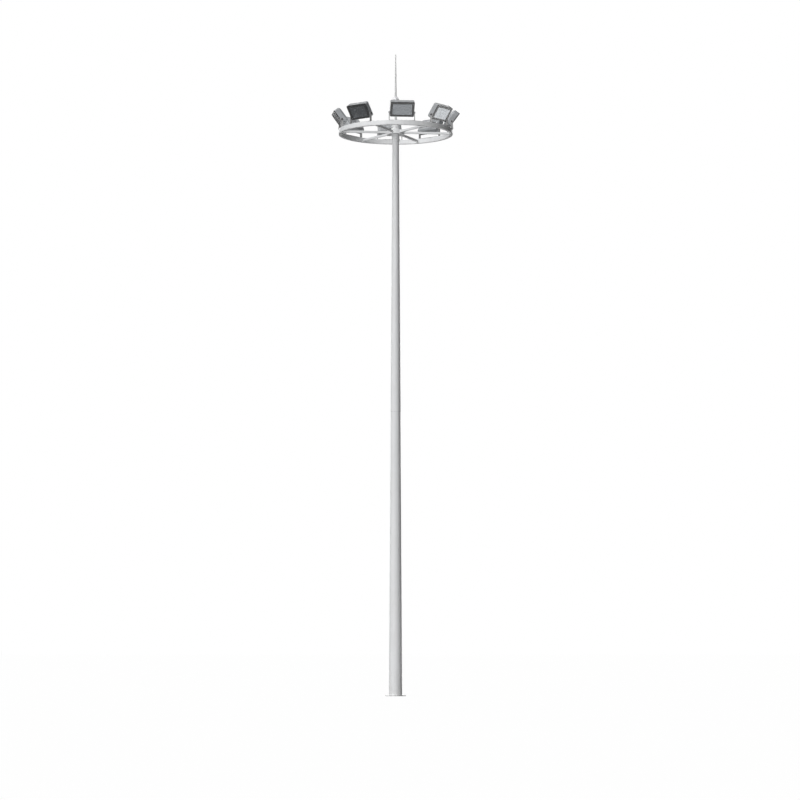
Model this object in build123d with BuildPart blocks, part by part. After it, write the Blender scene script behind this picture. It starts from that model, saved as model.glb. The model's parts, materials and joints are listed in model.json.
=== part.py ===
"""High mast floodlight tower: a tapered round mast that carries a spoked ring of eight
floodlights and a lightning rod. Millimetres, +Z up, the origin on the underside of the base
flange and on the axis of the mast. The front of the tower faces -Y."""

from build123d import *
import math
import os

os.makedirs("parts", exist_ok=True)

# ---------------------------------------------------------------- driving dimensions
# Mast: two tapered round tubes, the upper one slipped over the lower one.
mast_base_dia = 464
mast_top_dia = 228
mast_top_z = 20230
lower_wall = 8
upper_wall = 6
slip_z = 10000
slip_overlap = 560
slip_gap = 0.3

# Base flange with its anchor holes.
flange_thickness = 30
flange_chamfer = 3
anchor_setout = 68
anchor_margin = 60
anchor_hole_dia = 36
anchor_count = 12

# Access door at the back of the mast.
door_sill_z = 600
door_height = 1100
door_width = 200
door_corner_radius = 60
door_leaf_thickness = 6
door_gap = 3
door_rim_width = 22
door_rim_proud = 8
door_rim_depth = 24
door_lip_width = 14
door_seat_gap = 0.3

# Head sleeve, hub, spokes and ring.
sleeve_length = 580
sleeve_wall = 8
sleeve_room = 10.5
sleeve_collar_height = 12
cap_thickness = 12
weld_gap = 0.2
ring_dia = 4070
ring_drop = 330
ring_height = 165
ring_width = 100
ring_wall = 5
ring_edge_radius = 8
hub_dia = 600
hub_wall = 8
spoke_height = 80
spoke_width = 60
spoke_wall = 5
spoke_edge_radius = 6
spoke_count = 6
spoke_turn = 36

# Lightning rod on its post and hood.
post_dia = 76
post_wall = 5
post_length = 890
hood_dia = 228
hood_height = 150
hood_rim_height = 40
hood_crown_margin = 8
rod_base_dia = 68
rod_tip_dia = 28
rod_length = 1520

# Floodlights, all alike. Tilt is the angle of the face below level.
light_count = 8
light_turn = 6.5
light_tilt = 36
light_width = 850
light_face_height = 555
light_corner_radius = 46
light_flat_depth = 168
light_back_depth = 56
light_back_inset = 50
light_edge_radius = 18
light_wall = 5
gland_dia = 30
gland_length = 24
gland_from_foot = 130
frame_thickness = 30
frame_edge_radius = 6
frame_side = 86
frame_top = 76
frame_foot = 68
frame_lip = 8
glass_corner_radius = 16
glass_overlap = 10
glass_thickness = 6
glass_gap = 1
pivot_to_foot_edge = 138
pivot_to_face = 70
pivot_boss_dia = 60
pivot_pin_dia = 20
pivot_pin_gap = 0.4
pivot_side_gap = 12
pivot_run_gap = 0.5
pivot_head_dia = 50
pivot_head_height = 10

# U-brackets.
bracket_set_in = 75
bracket_plate = 6
bracket_depth = 20
bracket_foot_width = 96
bracket_bar_width = 96
bracket_top_radius = 37
bracket_foot_height = 24
pivot_rise = 280

# ---------------------------------------------------------------- worked-out values
anchor_circle_dia = mast_base_dia + 2 * anchor_setout
flange_dia = anchor_circle_dia + 2 * anchor_margin
mast_bottom_z = flange_thickness
slip_step = upper_wall + slip_gap
taper = (mast_base_dia / 2 + slip_step - mast_top_dia / 2) / (mast_top_z - mast_bottom_z)
slip_top_z = slip_z + slip_overlap
sleeve_bottom_z = mast_top_z - sleeve_length
ring_bottom_z = mast_top_z - ring_drop
ring_top_z = ring_bottom_z + ring_height
ring_mid_z = ring_bottom_z + ring_height / 2
ring_inner_radius = ring_dia / 2 - ring_width
cap_top_z = mast_top_z + cap_thickness
post_top_z = cap_top_z + post_length
hood_top_z = post_top_z + hood_height
bracket_radius = ring_dia / 2 - bracket_set_in
pivot_z = ring_top_z + pivot_rise
bracket_inner = light_width / 2 + pivot_side_gap
bracket_outer = bracket_inner + bracket_depth
light_mid = light_face_height / 2 - pivot_to_foot_edge
front_of_housing = pivot_to_face - frame_thickness
back_of_flat = front_of_housing - light_flat_depth
back_of_housing = back_of_flat - light_back_depth
glass_width = light_width - 2 * frame_side
glass_height = light_face_height - frame_top - frame_foot
glass_mid = light_mid + (frame_foot - frame_top) / 2
glass_front = pivot_to_face - frame_lip


def lower_radius(z):
    """Outer radius of the lower mast section at height z."""
    return mast_base_dia / 2 - taper * (z - mast_bottom_z)


def upper_radius(z):
    """Outer radius of the upper mast section at height z."""
    return lower_radius(z) + slip_step


def ring_profile(*outline):
    """Closed outline of (radius, height) points, to be turned once round the mast's axis."""
    with BuildSketch(Plane.XZ) as profile:
        with BuildLine():
            Polyline(*outline, close=True)
        make_face()
    return profile.sketch


def finish(piece, name):
    """Labels a finished piece and writes it to its own file."""
    piece.part.label = name
    export_step(piece.part, f"parts/{name}.step")


def outward(angle):
    """Level direction from the mast's axis; 0 degrees is the front and +90 is +X."""
    turn = math.radians(angle)
    return Vector(math.sin(turn), -math.cos(turn), 0)


def across(angle):
    """Level direction square to outward(angle), to the right as the tower's front is faced."""
    turn = math.radians(angle)
    return Vector(math.cos(turn), math.sin(turn), 0)


# ---------------------------------------------------------------- base flange
with BuildPart() as base_flange:
    with BuildSketch():
        Circle(flange_dia / 2)
        with PolarLocations(anchor_circle_dia / 2, anchor_count):
            Circle(anchor_hole_dia / 2, mode=Mode.SUBTRACT)
    extrude(amount=flange_thickness)
    top_edges = base_flange.edges().group_by(Axis.Z)[-1]
    chamfer(top_edges.sort_by(SortBy.LENGTH)[-1], length=flange_chamfer)
finish(base_flange, "base_flange")

# ---------------------------------------------------------------- access door and its frame
door_mid_z = door_sill_z + door_height / 2
door_plane = Plane(origin=(0, 0, door_mid_z), x_dir=(-1, 0, 0), z_dir=(0, 1, 0))
rim_bottom_z = door_sill_z - door_gap - door_rim_width
rim_top_z = door_sill_z + door_height + door_gap + door_rim_width


def door_outline(margin):
    """The leaf's outline on the door plane, grown by a margin all round."""
    with BuildSketch(door_plane) as outline:
        RectangleRounded(
            door_width + 2 * margin, door_height + 2 * margin, door_corner_radius + margin
        )
    return outline.sketch


def wall_profile(inner, outer):
    """Profile of the mast's wall at the door, between two offsets from its outer face."""
    low = rim_bottom_z - door_rim_width
    high = rim_top_z + door_rim_width
    return ring_profile(
        (lower_radius(low) + inner, low),
        (lower_radius(low) + outer, low),
        (lower_radius(high) + outer, high),
        (lower_radius(high) + inner, high),
    )


with BuildPart() as access_door:
    revolve(wall_profile(-door_leaf_thickness, 0), axis=Axis.Z)
    extrude(door_outline(0), amount=mast_base_dia, mode=Mode.INTERSECT)
finish(access_door, "access_door")

with BuildPart() as door_recess:
    recess_profile = wall_profile(-door_leaf_thickness - door_seat_gap, 2 * door_rim_proud)
    revolve(recess_profile, axis=Axis.Z)
    extrude(door_outline(door_gap), amount=mast_base_dia, mode=Mode.INTERSECT)

with BuildPart() as door_frame:
    revolve(wall_profile(-door_rim_depth, door_rim_proud), axis=Axis.Z)
    rim_outline = door_outline(door_gap + door_rim_width)
    extrude(rim_outline, amount=mast_base_dia, mode=Mode.INTERSECT)
    extrude(door_outline(-door_lip_width), amount=mast_base_dia, mode=Mode.SUBTRACT)
    add(door_recess.part, mode=Mode.SUBTRACT)
finish(door_frame, "door_frame")

# ---------------------------------------------------------------- mast
with BuildPart() as mast_lower:
    lower_profile = ring_profile(
        (lower_radius(mast_bottom_z) - lower_wall, mast_bottom_z),
        (lower_radius(mast_bottom_z), mast_bottom_z),
        (lower_radius(slip_top_z), slip_top_z),
        (lower_radius(slip_top_z) - lower_wall, slip_top_z),
    )
    revolve(lower_profile, axis=Axis.Z)
    frame_hole = door_outline(door_gap + door_rim_width + weld_gap)
    extrude(frame_hole, amount=mast_base_dia, mode=Mode.SUBTRACT)
finish(mast_lower, "mast_lower")

with BuildPart() as mast_upper:
    upper_profile = ring_profile(
        (lower_radius(slip_z) + slip_gap, slip_z),
        (upper_radius(slip_z), slip_z),
        (upper_radius(mast_top_z), mast_top_z),
        (lower_radius(mast_top_z) + slip_gap, mast_top_z),
    )
    revolve(upper_profile, axis=Axis.Z)
finish(mast_upper, "mast_upper")

# ---------------------------------------------------------------- head sleeve and hub
collar_bore_radius = upper_radius(sleeve_bottom_z) + weld_gap
sleeve_radius = upper_radius(sleeve_bottom_z) + sleeve_room + sleeve_wall
collar_top_z = sleeve_bottom_z + sleeve_collar_height
with BuildPart() as head_sleeve:
    sleeve_profile = ring_profile(
        (collar_bore_radius, sleeve_bottom_z),
        (sleeve_radius, sleeve_bottom_z),
        (sleeve_radius, cap_top_z),
        (0, cap_top_z),
        (0, mast_top_z),
        (sleeve_radius - sleeve_wall, mast_top_z),
        (sleeve_radius - sleeve_wall, collar_top_z),
        (collar_bore_radius, collar_top_z),
    )
    revolve(sleeve_profile, axis=Axis.Z)
finish(head_sleeve, "head_sleeve")

with BuildPart() as hub:
    with BuildSketch(Plane.XY.offset(ring_bottom_z)):
        Circle(hub_dia / 2)
        Circle(sleeve_radius + weld_gap, mode=Mode.SUBTRACT)
    extrude(amount=ring_height)
    rim_edges = hub.edges().filter_by(GeomType.CIRCLE).group_by(SortBy.LENGTH)[-1]
    fillet(rim_edges, ring_edge_radius)
    with BuildSketch(Plane.XY.offset(ring_bottom_z + hub_wall)):
        Circle(hub_dia / 2 - hub_wall)
        Circle(sleeve_radius + weld_gap + hub_wall, mode=Mode.SUBTRACT)
    extrude(amount=ring_height - 2 * hub_wall, mode=Mode.SUBTRACT)
finish(hub, "hub")

# ---------------------------------------------------------------- outer ring
with BuildPart() as outer_ring:
    with BuildSketch(Plane.XY.offset(ring_bottom_z)):
        Circle(ring_dia / 2)
        Circle(ring_inner_radius, mode=Mode.SUBTRACT)
    extrude(amount=ring_height)
    fillet(outer_ring.edges().filter_by(GeomType.CIRCLE), ring_edge_radius)
    with BuildSketch(Plane.XY.offset(ring_bottom_z + ring_wall)):
        Circle(ring_dia / 2 - ring_wall)
        Circle(ring_inner_radius + ring_wall, mode=Mode.SUBTRACT)
    extrude(amount=ring_height - 2 * ring_wall, mode=Mode.SUBTRACT)
finish(outer_ring, "outer_ring")

# ---------------------------------------------------------------- spokes
with BuildPart() as spokes:
    for spoke in range(spoke_count):
        run = outward(spoke_turn + 360 / spoke_count * spoke)
        spoke_plane = Plane(origin=(0, 0, ring_mid_z), x_dir=(0, 0, 1), z_dir=run)
        with BuildSketch(spoke_plane.offset(sleeve_radius)):
            RectangleRounded(spoke_height, spoke_width, spoke_edge_radius)
            offset(amount=-spoke_wall, kind=Kind.INTERSECTION, mode=Mode.SUBTRACT)
        extrude(amount=ring_dia / 2 - sleeve_radius)
    with BuildSketch(Plane.XY.offset(ring_bottom_z)):
        Circle(ring_inner_radius - weld_gap)
        Circle(hub_dia / 2 + weld_gap, mode=Mode.SUBTRACT)
    extrude(amount=ring_height, mode=Mode.INTERSECT)
finish(spokes, "spokes")

# ---------------------------------------------------------------- lightning rod, hood and post
with BuildPart() as rod_post:
    with BuildSketch(Plane.XY.offset(cap_top_z)):
        Circle(post_dia / 2)
        Circle(post_dia / 2 - post_wall, mode=Mode.SUBTRACT)
    extrude(amount=post_length)
finish(rod_post, "rod_post")

hood_radius = hood_dia / 2
dome_height = hood_height - hood_rim_height
crown_radius = rod_base_dia / 2 + hood_crown_margin
with BuildPart() as rod_hood:
    with BuildSketch(Plane.XZ):
        with BuildLine():
            Line((0, hood_top_z), (crown_radius, hood_top_z))
            ThreePointArc(
                (crown_radius, hood_top_z),
                (hood_radius * 0.76, hood_top_z - dome_height * 0.42),
                (hood_radius, post_top_z + hood_rim_height),
            )
            Polyline(
                (hood_radius, post_top_z + hood_rim_height),
                (hood_radius, post_top_z),
                (0, post_top_z),
                (0, hood_top_z),
            )
        make_face()
    revolve(axis=Axis.Z)
finish(rod_hood, "rod_hood")

with BuildPart() as lightning_rod:
    with BuildSketch(Plane.XY.offset(hood_top_z)):
        Circle(rod_base_dia / 2)
    with BuildSketch(Plane.XY.offset(hood_top_z + rod_length)):
        Circle(rod_tip_dia / 2)
    loft()
    fillet(lightning_rod.edges().sort_by(Axis.Z)[-1], rod_tip_dia * 0.4)
finish(lightning_rod, "lightning_rod")


# ---------------------------------------------------------------- U-bracket
def make_bracket(angle):
    """One folded U-bracket: a foot bar on the ring and a tapered, lipped cheek each side."""
    foot_point = outward(angle) * bracket_radius + Vector(0, 0, ring_top_z)
    side = Plane(origin=foot_point, x_dir=-outward(angle), z_dir=across(angle))
    with BuildPart() as bracket:
        with BuildSketch(Plane(origin=foot_point, x_dir=across(angle), z_dir=(0, 0, 1))):
            Rectangle(2 * bracket_outer, bracket_bar_width)
        extrude(amount=bracket_plate)
        for end in (-1, 1):
            inner_face = side.offset(end * bracket_inner)
            with BuildSketch(inner_face):
                cheek_outline(0)
            extrude(amount=end * bracket_depth)
            with BuildSketch(inner_face.offset(end * bracket_plate)):
                cheek_outline(bracket_plate)
            extrude(amount=end * bracket_depth, mode=Mode.SUBTRACT)
        with BuildSketch(side):
            with Locations((0, pivot_rise)):
                Circle(pivot_pin_dia / 2 + pivot_pin_gap)
        extrude(amount=bracket_outer, both=True, mode=Mode.SUBTRACT)
    return bracket


def cheek_outline(inset):
    """Draws a cheek from the side: a broad foot that narrows to a round head at the pivot."""
    with Locations((0, (bracket_foot_height + inset) / 2)):
        Rectangle(bracket_foot_width - 2 * inset, bracket_foot_height - inset)
    with Locations((0, pivot_rise)):
        Circle(bracket_top_radius - inset)
    make_hull()


# ---------------------------------------------------------------- floodlight
def face_plane(angle):
    """Plane through a floodlight's pivot: x across it, y up its face, z out of its glass."""
    tilt = math.radians(light_tilt)
    facing = outward(angle) * math.cos(tilt) - Vector(0, 0, math.sin(tilt))
    pivot = outward(angle) * bracket_radius + Vector(0, 0, pivot_z)
    return Plane(origin=pivot, x_dir=across(angle), z_dir=facing)


def face_rectangle(plane, width, height, mid, radius):
    """A rounded rectangle square to the floodlight's face, centred up it at mid."""
    with BuildSketch(plane) as outline:
        with Locations((0, mid)):
            RectangleRounded(width, height, radius)
    return outline.sketch


def back_edges(housing, plane):
    """The edges round the housing's back face and round the shoulder where its taper starts."""
    levels = housing.edges().group_by(plane.location.z_axis)
    return levels[0] + levels[2]


def make_housing(angle):
    """Cast housing: an open box with a tapered back, a cable gland, bosses and pivot pins."""
    plane = face_plane(angle)
    with BuildPart() as housing:
        for inset, mode in ((0, Mode.ADD), (light_wall, Mode.SUBTRACT)):
            width = light_width - 2 * inset
            height = light_face_height - 2 * inset
            radius = light_corner_radius - inset
            flat_end = face_rectangle(plane.offset(back_of_flat), width, height, light_mid, radius)
            back_end = face_rectangle(
                plane.offset(back_of_housing + inset),
                width - 2 * light_back_inset,
                height - 2 * light_back_inset,
                light_mid,
                radius,
            )
            extrude(flat_end, amount=light_flat_depth, dir=plane.z_dir, mode=mode)
            loft([flat_end, back_end], mode=mode)
            if mode == Mode.ADD:
                fillet(back_edges(housing, plane), light_edge_radius)
        gland_point = (0, gland_from_foot - pivot_to_foot_edge, back_of_housing)
        gland_seat = Plane(
            origin=plane.from_local_coords(gland_point), x_dir=plane.x_dir, z_dir=-plane.z_dir
        )
        with BuildSketch(gland_seat):
            Circle(gland_dia / 2)
        extrude(amount=gland_length)
        for end in (-1, 1):
            side_point = plane.origin + plane.x_dir * (end * light_width / 2)
            pivot = Plane(origin=side_point, z_dir=plane.x_dir * end)
            with BuildSketch(pivot):
                Circle(pivot_boss_dia / 2)
            extrude(amount=pivot_side_gap - pivot_run_gap)
            pin_length = pivot_side_gap + bracket_plate + pivot_run_gap
            with BuildSketch(pivot):
                Circle(pivot_pin_dia / 2)
            extrude(amount=pin_length)
            with BuildSketch(pivot.offset(pin_length)):
                Circle(pivot_head_dia / 2)
            extrude(amount=pivot_head_height)
    return housing


def make_frame(angle):
    """Front frame: a flat rounded border whose lip holds the glass from in front."""
    back = face_plane(angle).offset(front_of_housing)
    seat_margin = glass_overlap + glass_gap
    border = face_rectangle(back, light_width, light_face_height, light_mid, light_corner_radius)
    opening = face_rectangle(back, glass_width, glass_height, glass_mid, glass_corner_radius)
    seat = face_rectangle(
        back,
        glass_width + 2 * seat_margin,
        glass_height + 2 * seat_margin,
        glass_mid,
        glass_corner_radius + seat_margin,
    )
    with BuildPart() as frame:
        extrude(border, amount=frame_thickness)
        front_edges = frame.faces().sort_by(back.location.z_axis)[-1].edges()
        fillet(front_edges, frame_edge_radius)
        extrude(opening, amount=frame_thickness, mode=Mode.SUBTRACT)
        extrude(seat, amount=frame_thickness - frame_lip, mode=Mode.SUBTRACT)
    return frame


def make_glass(angle):
    """Flat toughened glass, seated against the back of the frame's lip."""
    with BuildPart() as glass:
        outline = face_rectangle(
            face_plane(angle).offset(glass_front),
            glass_width + 2 * glass_overlap,
            glass_height + 2 * glass_overlap,
            glass_mid,
            glass_corner_radius + glass_overlap,
        )
        extrude(outline, amount=-glass_thickness)
    return glass


for number in range(1, light_count + 1):
    light_angle = light_turn + 360 / light_count * (number - 1)
    finish(make_bracket(light_angle), f"bracket_{number}")
    finish(make_housing(light_angle), f"floodlight_{number}_housing")
    finish(make_frame(light_angle), f"floodlight_{number}_frame")
    finish(make_glass(light_angle), f"floodlight_{number}_glass")
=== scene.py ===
# %% [markdown]
# High mast floodlight tower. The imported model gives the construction: the mast, the ring, the
# brackets and eight floodlights that tilt. This script gives it its looks: paint, zinc, glass
# and rubber, and the many small pieces that a close view shows, such as welds, bolts and seals.
# Everything is in metres, in the tower's own axes: +Z up the mast and -Y out of its front.

# %% Load the frame
import json
import math

import bmesh
import bpy
from mathutils import Matrix, Vector


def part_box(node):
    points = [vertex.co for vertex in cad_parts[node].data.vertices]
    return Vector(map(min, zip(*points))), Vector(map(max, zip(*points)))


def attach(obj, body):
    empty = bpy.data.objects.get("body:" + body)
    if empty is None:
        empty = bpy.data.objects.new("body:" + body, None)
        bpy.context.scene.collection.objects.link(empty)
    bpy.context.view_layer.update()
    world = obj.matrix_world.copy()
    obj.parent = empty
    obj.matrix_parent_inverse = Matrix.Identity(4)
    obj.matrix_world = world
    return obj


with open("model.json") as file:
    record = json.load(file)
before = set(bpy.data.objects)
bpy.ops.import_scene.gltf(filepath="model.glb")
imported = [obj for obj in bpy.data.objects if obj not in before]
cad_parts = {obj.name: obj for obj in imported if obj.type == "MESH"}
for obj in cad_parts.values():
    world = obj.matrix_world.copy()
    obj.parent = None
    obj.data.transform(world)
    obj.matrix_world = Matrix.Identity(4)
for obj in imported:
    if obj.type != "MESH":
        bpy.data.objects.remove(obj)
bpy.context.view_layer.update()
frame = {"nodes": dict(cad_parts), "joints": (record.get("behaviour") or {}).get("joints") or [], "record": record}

nodes = frame["nodes"]
scene = bpy.context.scene
scene.view_settings.view_transform = "Standard"

# %% [markdown]
# The camera. A mast of twenty metres is looked at from far away, with a long lens, from the
# height of a person's eyes. The camera is tipped up by a few degrees instead of shifted, so
# that the ring at the top is seen a little from below.

# %% Camera
EYE_HEIGHT = 1.7
EYE_DISTANCE = 102.0
EYE_SIDE = 0.155
EYE_TIP = 4.883
LENS = 130.3
FAR_CLIP = 2000.0


def in_scene(name, data):
    """Makes an object of a camera, a light or a mesh and puts it in the scene."""
    made = bpy.data.objects.new(name, data)
    scene.collection.objects.link(made)
    return made


camera_data = bpy.data.cameras.new("camera")
camera_data.lens = LENS
camera_data.clip_end = FAR_CLIP
camera = in_scene("camera", camera_data)
camera.location = (EYE_SIDE, -EYE_DISTANCE, EYE_HEIGHT)
camera.rotation_euler = (math.radians(90 + EYE_TIP), 0, 0)
scene.camera = camera
print("camera stands", EYE_DISTANCE, "m in front")


# %% [markdown]
# Small helpers for every node tree below, both materials and Geometry Nodes. An input is
# named, or numbered where a node has several inputs of one name. Its value is a number or a
# colour, or the output of an earlier node, which is then linked.

# %% Node helpers
def node(tree, kind, inputs=None, **settings):
    """Adds a node to a tree, sets its settings and fills or links its inputs."""
    made = tree.nodes.new(kind)
    for name, value in settings.items():
        setattr(made, name, value)
    for name, value in (inputs or {}).items():
        socket = made.inputs[name]
        if isinstance(value, bpy.types.NodeSocket):
            tree.links.new(value, socket)
        else:
            socket.default_value = value
    return made


def out(tree, kind, inputs=None, output=0, **settings):
    """Adds a node and returns one of its outputs, by number or name."""
    return node(tree, kind, inputs, **settings).outputs[output]


def calc(tree, operation, first, second=0.0):
    """One step of arithmetic."""
    return out(tree, "ShaderNodeMath", {0: first, 1: second}, operation=operation)


def spread(tree, value, low, high, to_low, to_high):
    """Turns a value between low and high into one between to_low and to_high."""
    inputs = {"Value": value, "From Min": low, "From Max": high}
    return out(tree, "ShaderNodeMapRange", inputs | {"To Min": to_low, "To Max": to_high})


def axis_of(tree, vector, axis):
    """The X, Y or Z of a vector."""
    return out(tree, "ShaderNodeSeparateXYZ", {0: vector}, axis)


def coordinates(tree, kind):
    """One kind of texture coordinates."""
    return out(tree, "ShaderNodeTexCoord", None, kind)


def bare_tree(owner):
    """The emptied node tree of a world or a material."""
    owner.use_nodes = True
    owner.node_tree.nodes.clear()
    return owner.node_tree


# %% [markdown]
# The stage. The floor and the sky look white to the camera and through glass, but they send
# out much less light than that, so the object keeps its shading. A Light Path node tells what
# kind of ray has come, and a surface may answer each kind in its own way.

# %% Kinds of ray
WHITE = (1, 1, 1, 1)
SEEN_RAYS = ("Is Camera Ray", "Is Transmission Ray")


def ray_is(tree, *kinds):
    """1 where the ray is one of the named kinds, and otherwise 0."""
    path = node(tree, "ShaderNodeLightPath")
    total = path.outputs[kinds[0]]
    for kind in kinds[1:]:
        total = calc(tree, "MAXIMUM", total, path.outputs[kind])
    return total


# %% [markdown]
# The sky lights the object from all round. It is dimmer on the right, so that the left of every
# round shape is lighter than its right. In gloss that difference is much stronger: it gives the
# satin paint of the mast its bright left edge and its dark right one.

# %% Sky
SKY_LEFT = 0.33
SKY_RIGHT = 0.02
GLOSS_SKY_LEFT = 0.90
GLOSS_SKY_RIGHT = 0.05
GLOSS_SKY_EDGE = 0.1


def make_sky():
    """The world: white to the camera, dim to the object, and dimmer on the right."""
    world = bpy.data.worlds.new("sky")
    tree = bare_tree(world)
    side = axis_of(tree, coordinates(tree, "Generated"), "X")
    ambient = spread(tree, side, -1, 1, SKY_LEFT, SKY_RIGHT)
    gloss = spread(tree, side, -1, GLOSS_SKY_EDGE, GLOSS_SKY_LEFT, GLOSS_SKY_RIGHT)
    lit = out(tree, "ShaderNodeMix", {0: ray_is(tree, "Is Glossy Ray"), 2: ambient, 3: gloss})
    strength = out(tree, "ShaderNodeMix", {0: ray_is(tree, *SEEN_RAYS), 2: lit, 3: 1.0})
    light = out(tree, "ShaderNodeBackground", {"Color": WHITE, "Strength": strength})
    node(tree, "ShaderNodeOutputWorld", {"Surface": light})
    return world


scene.world = make_sky()
print("sky from", SKY_LEFT, "on the left to", SKY_RIGHT, "on the right")


# %% [markdown]
# The floor. In gloss it is darker on the left and brighter on the right, as with a reflector
# card low on one side of a studio: the floodlights' flat glasses face down, so each one shows a
# different part of it. The card is weak close to the foot, where it would burn out the flange's
# zinc, and it fades far away, where it would show in surfaces seen edge on.

# %% Floor
FLOOR_SIZE = 1200.0
FLOOR_GLOW = 0.905
FLOOR_BOUNCE = 0.15
CARD_LEFT = 0.5
CARD_RIGHT = 4.4
CARD_SPAN = (-23.0, 30.0)
CARD_HOLE = (2.5, 7.0)
CARD_FOOT = 0.3
CARD_FADE = (40.0, 60.0)
CARD_FAR = 0.05


def make_floor_finish():
    """White to the camera with the object's soft shadow, and dark grey as a source of light."""
    finish = bpy.data.materials.new("stage_floor")
    tree = bare_tree(finish)
    white = out(tree, "ShaderNodeEmission", {"Strength": 1.0})
    pale = out(tree, "ShaderNodeBsdfDiffuse", {"Color": WHITE})
    dark = out(tree, "ShaderNodeBsdfDiffuse", {"Color": (FLOOR_BOUNCE,) * 3 + (1,)})
    spot = coordinates(tree, "Object")
    reach = out(tree, "ShaderNodeVectorMath", {0: spot}, "Value", operation="LENGTH")
    beyond_foot = spread(tree, reach, *CARD_HOLE, CARD_FOOT, 1)
    before_far = spread(tree, reach, *CARD_FADE, 1, CARD_FAR)
    full_card = spread(tree, axis_of(tree, spot, "X"), *CARD_SPAN, CARD_LEFT, CARD_RIGHT)
    in_range = calc(tree, "MULTIPLY", beyond_foot, before_far)
    card_strength = calc(tree, "MULTIPLY", full_card, in_range)
    card = out(tree, "ShaderNodeEmission", {"Strength": card_strength})
    backdrop = out(tree, "ShaderNodeMixShader", {0: FLOOR_GLOW, 1: pale, 2: white})
    plain = out(tree, "ShaderNodeMixShader", {0: ray_is(tree, *SEEN_RAYS), 1: dark, 2: backdrop})
    glossy = ray_is(tree, "Is Glossy Ray")
    surface = out(tree, "ShaderNodeMixShader", {0: glossy, 1: plain, 2: card})
    node(tree, "ShaderNodeOutputMaterial", {"Surface": surface})
    return finish


floor_mesh = bpy.data.meshes.new("floor")
half_floor = FLOOR_SIZE / 2
corners = [(x * half_floor, y * half_floor, 0) for x, y in ((-1, -1), (1, -1), (1, 1), (-1, 1))]
floor_mesh.from_pydata(corners, [], [(0, 1, 2, 3)])
floor_mesh.materials.append(make_floor_finish())
floor = in_scene("floor", floor_mesh)
print("floor", FLOOR_SIZE, "m across")


# %% [markdown]
# The suns. A large soft sun from the front left makes the round mast read as round. Part of it
# casts no shadows, as a fill lamp does, so that the mast stays pale just under the ring. A low
# sun behind the mast keeps the far side from going black.

# %% Suns
SUN_TURN = -29.0
SUN_HEIGHT = 36.0
SUN_STRENGTH = 1.3
FILL_STRENGTH = 1.95
SUN_SOFTNESS = 48.0
BACK_SUN_TURN = 180.0
BACK_SUN_HEIGHT = 12.0
BACK_SUN_STRENGTH = 2.1
BACK_SUN_SOFTNESS = 40.0


def add_sun(name, turn, height, strength, softness, shadows=True):
    """A soft sun that shines from so many degrees round from the front and above level."""
    sun_data = bpy.data.lights.new(name, "SUN")
    sun_data.energy = strength
    sun_data.angle = math.radians(softness)
    sun_data.use_shadow = shadows
    sun = in_scene(name, sun_data)
    sun.rotation_euler = (math.radians(90 - height), 0, math.radians(turn))
    print(name, "from", turn, "degrees, strength", strength)


add_sun("front_sun", SUN_TURN, SUN_HEIGHT, SUN_STRENGTH, SUN_SOFTNESS)
add_sun("fill_sun", SUN_TURN, SUN_HEIGHT, FILL_STRENGTH, SUN_SOFTNESS, shadows=False)
add_sun("back_sun", BACK_SUN_TURN, BACK_SUN_HEIGHT, BACK_SUN_STRENGTH, BACK_SUN_SOFTNESS)


# %% [markdown]
# Finishes. Each one is a Principled shader with a few patterns on Object coordinates, which
# are real metres here, so a scale of 100 is a pattern about a centimetre across. What is the
# same all over a surface goes straight on the shader's own sockets. What varies, such as
# colour and roughness, comes from noise, and fine relief comes from a Bump node.

# %% Finish helpers
def new_finish(name, **values):
    """A Principled material; values are the shader's own sockets, such as Metallic=1.0."""
    finish = bpy.data.materials.new(name)
    finish.use_nodes = True
    shader = finish.node_tree.nodes["Principled BSDF"]
    for socket, value in values.items():
        shader.inputs[socket.replace("_", " ")].default_value = value
    return finish, finish.node_tree, shader


def metres(tree, stretch=(1, 1, 1)):
    """Object coordinates, stretched along the axes where a pattern is longer one way."""
    inputs = {"Vector": coordinates(tree, "Object"), "Scale": stretch}
    return out(tree, "ShaderNodeMapping", inputs)


def noise(tree, scale, detail=3.0, stretch=(1, 1, 1)):
    """Soft noise from 0 to 1, with scale in patches a metre."""
    inputs = {"Vector": metres(tree, stretch), "Scale": scale, "Detail": detail}
    return out(tree, "ShaderNodeTexNoise", inputs, "Fac")


def patches(tree, scale, detail, noise_range, value_range=(0, 1), stretch=(1, 1, 1)):
    """Noise with soft edges: a part of its range is spread over a range of values."""
    return spread(tree, noise(tree, scale, detail, stretch), *noise_range, *value_range)


def mix_colours(tree, amount, first, second):
    """A colour between two colours."""
    inputs = {0: amount, 6: first, 7: second}
    return out(tree, "ShaderNodeMix", inputs, 2, data_type="RGBA")


def grey(level, warmth=0.0):
    """An opaque grey, made a little warmer or cooler."""
    return (level * (1 + warmth), level, level * (1 - warmth), 1)


def shifted(level, shift):
    """A grey that is lighter or darker than a level; a shift is (how much, warmth)."""
    return grey(level + shift[0], shift[1])


def dress(tree, shader, colour, roughness):
    """Links a colour and a roughness to the shader."""
    tree.links.new(colour, shader.inputs["Base Color"])
    tree.links.new(roughness, shader.inputs["Roughness"])


def relief(tree, shader, height, depth, strength):
    """Fine relief on a surface, with its depth in metres."""
    inputs = {"Height": height, "Distance": depth, "Strength": strength}
    tree.links.new(out(tree, "ShaderNodeBump", inputs), shader.inputs["Normal"])


# %% [markdown]
# Mast paint. A high mast is galvanised and then given a light grey satin coat. Rain leaves
# faint streaks down it, dust from the ground clings to its foot, and the coat has the shallow
# orange peel of a sprayed surface. Stretched noise gives the streaks, and height above the
# ground mixes in the dust.

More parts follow.
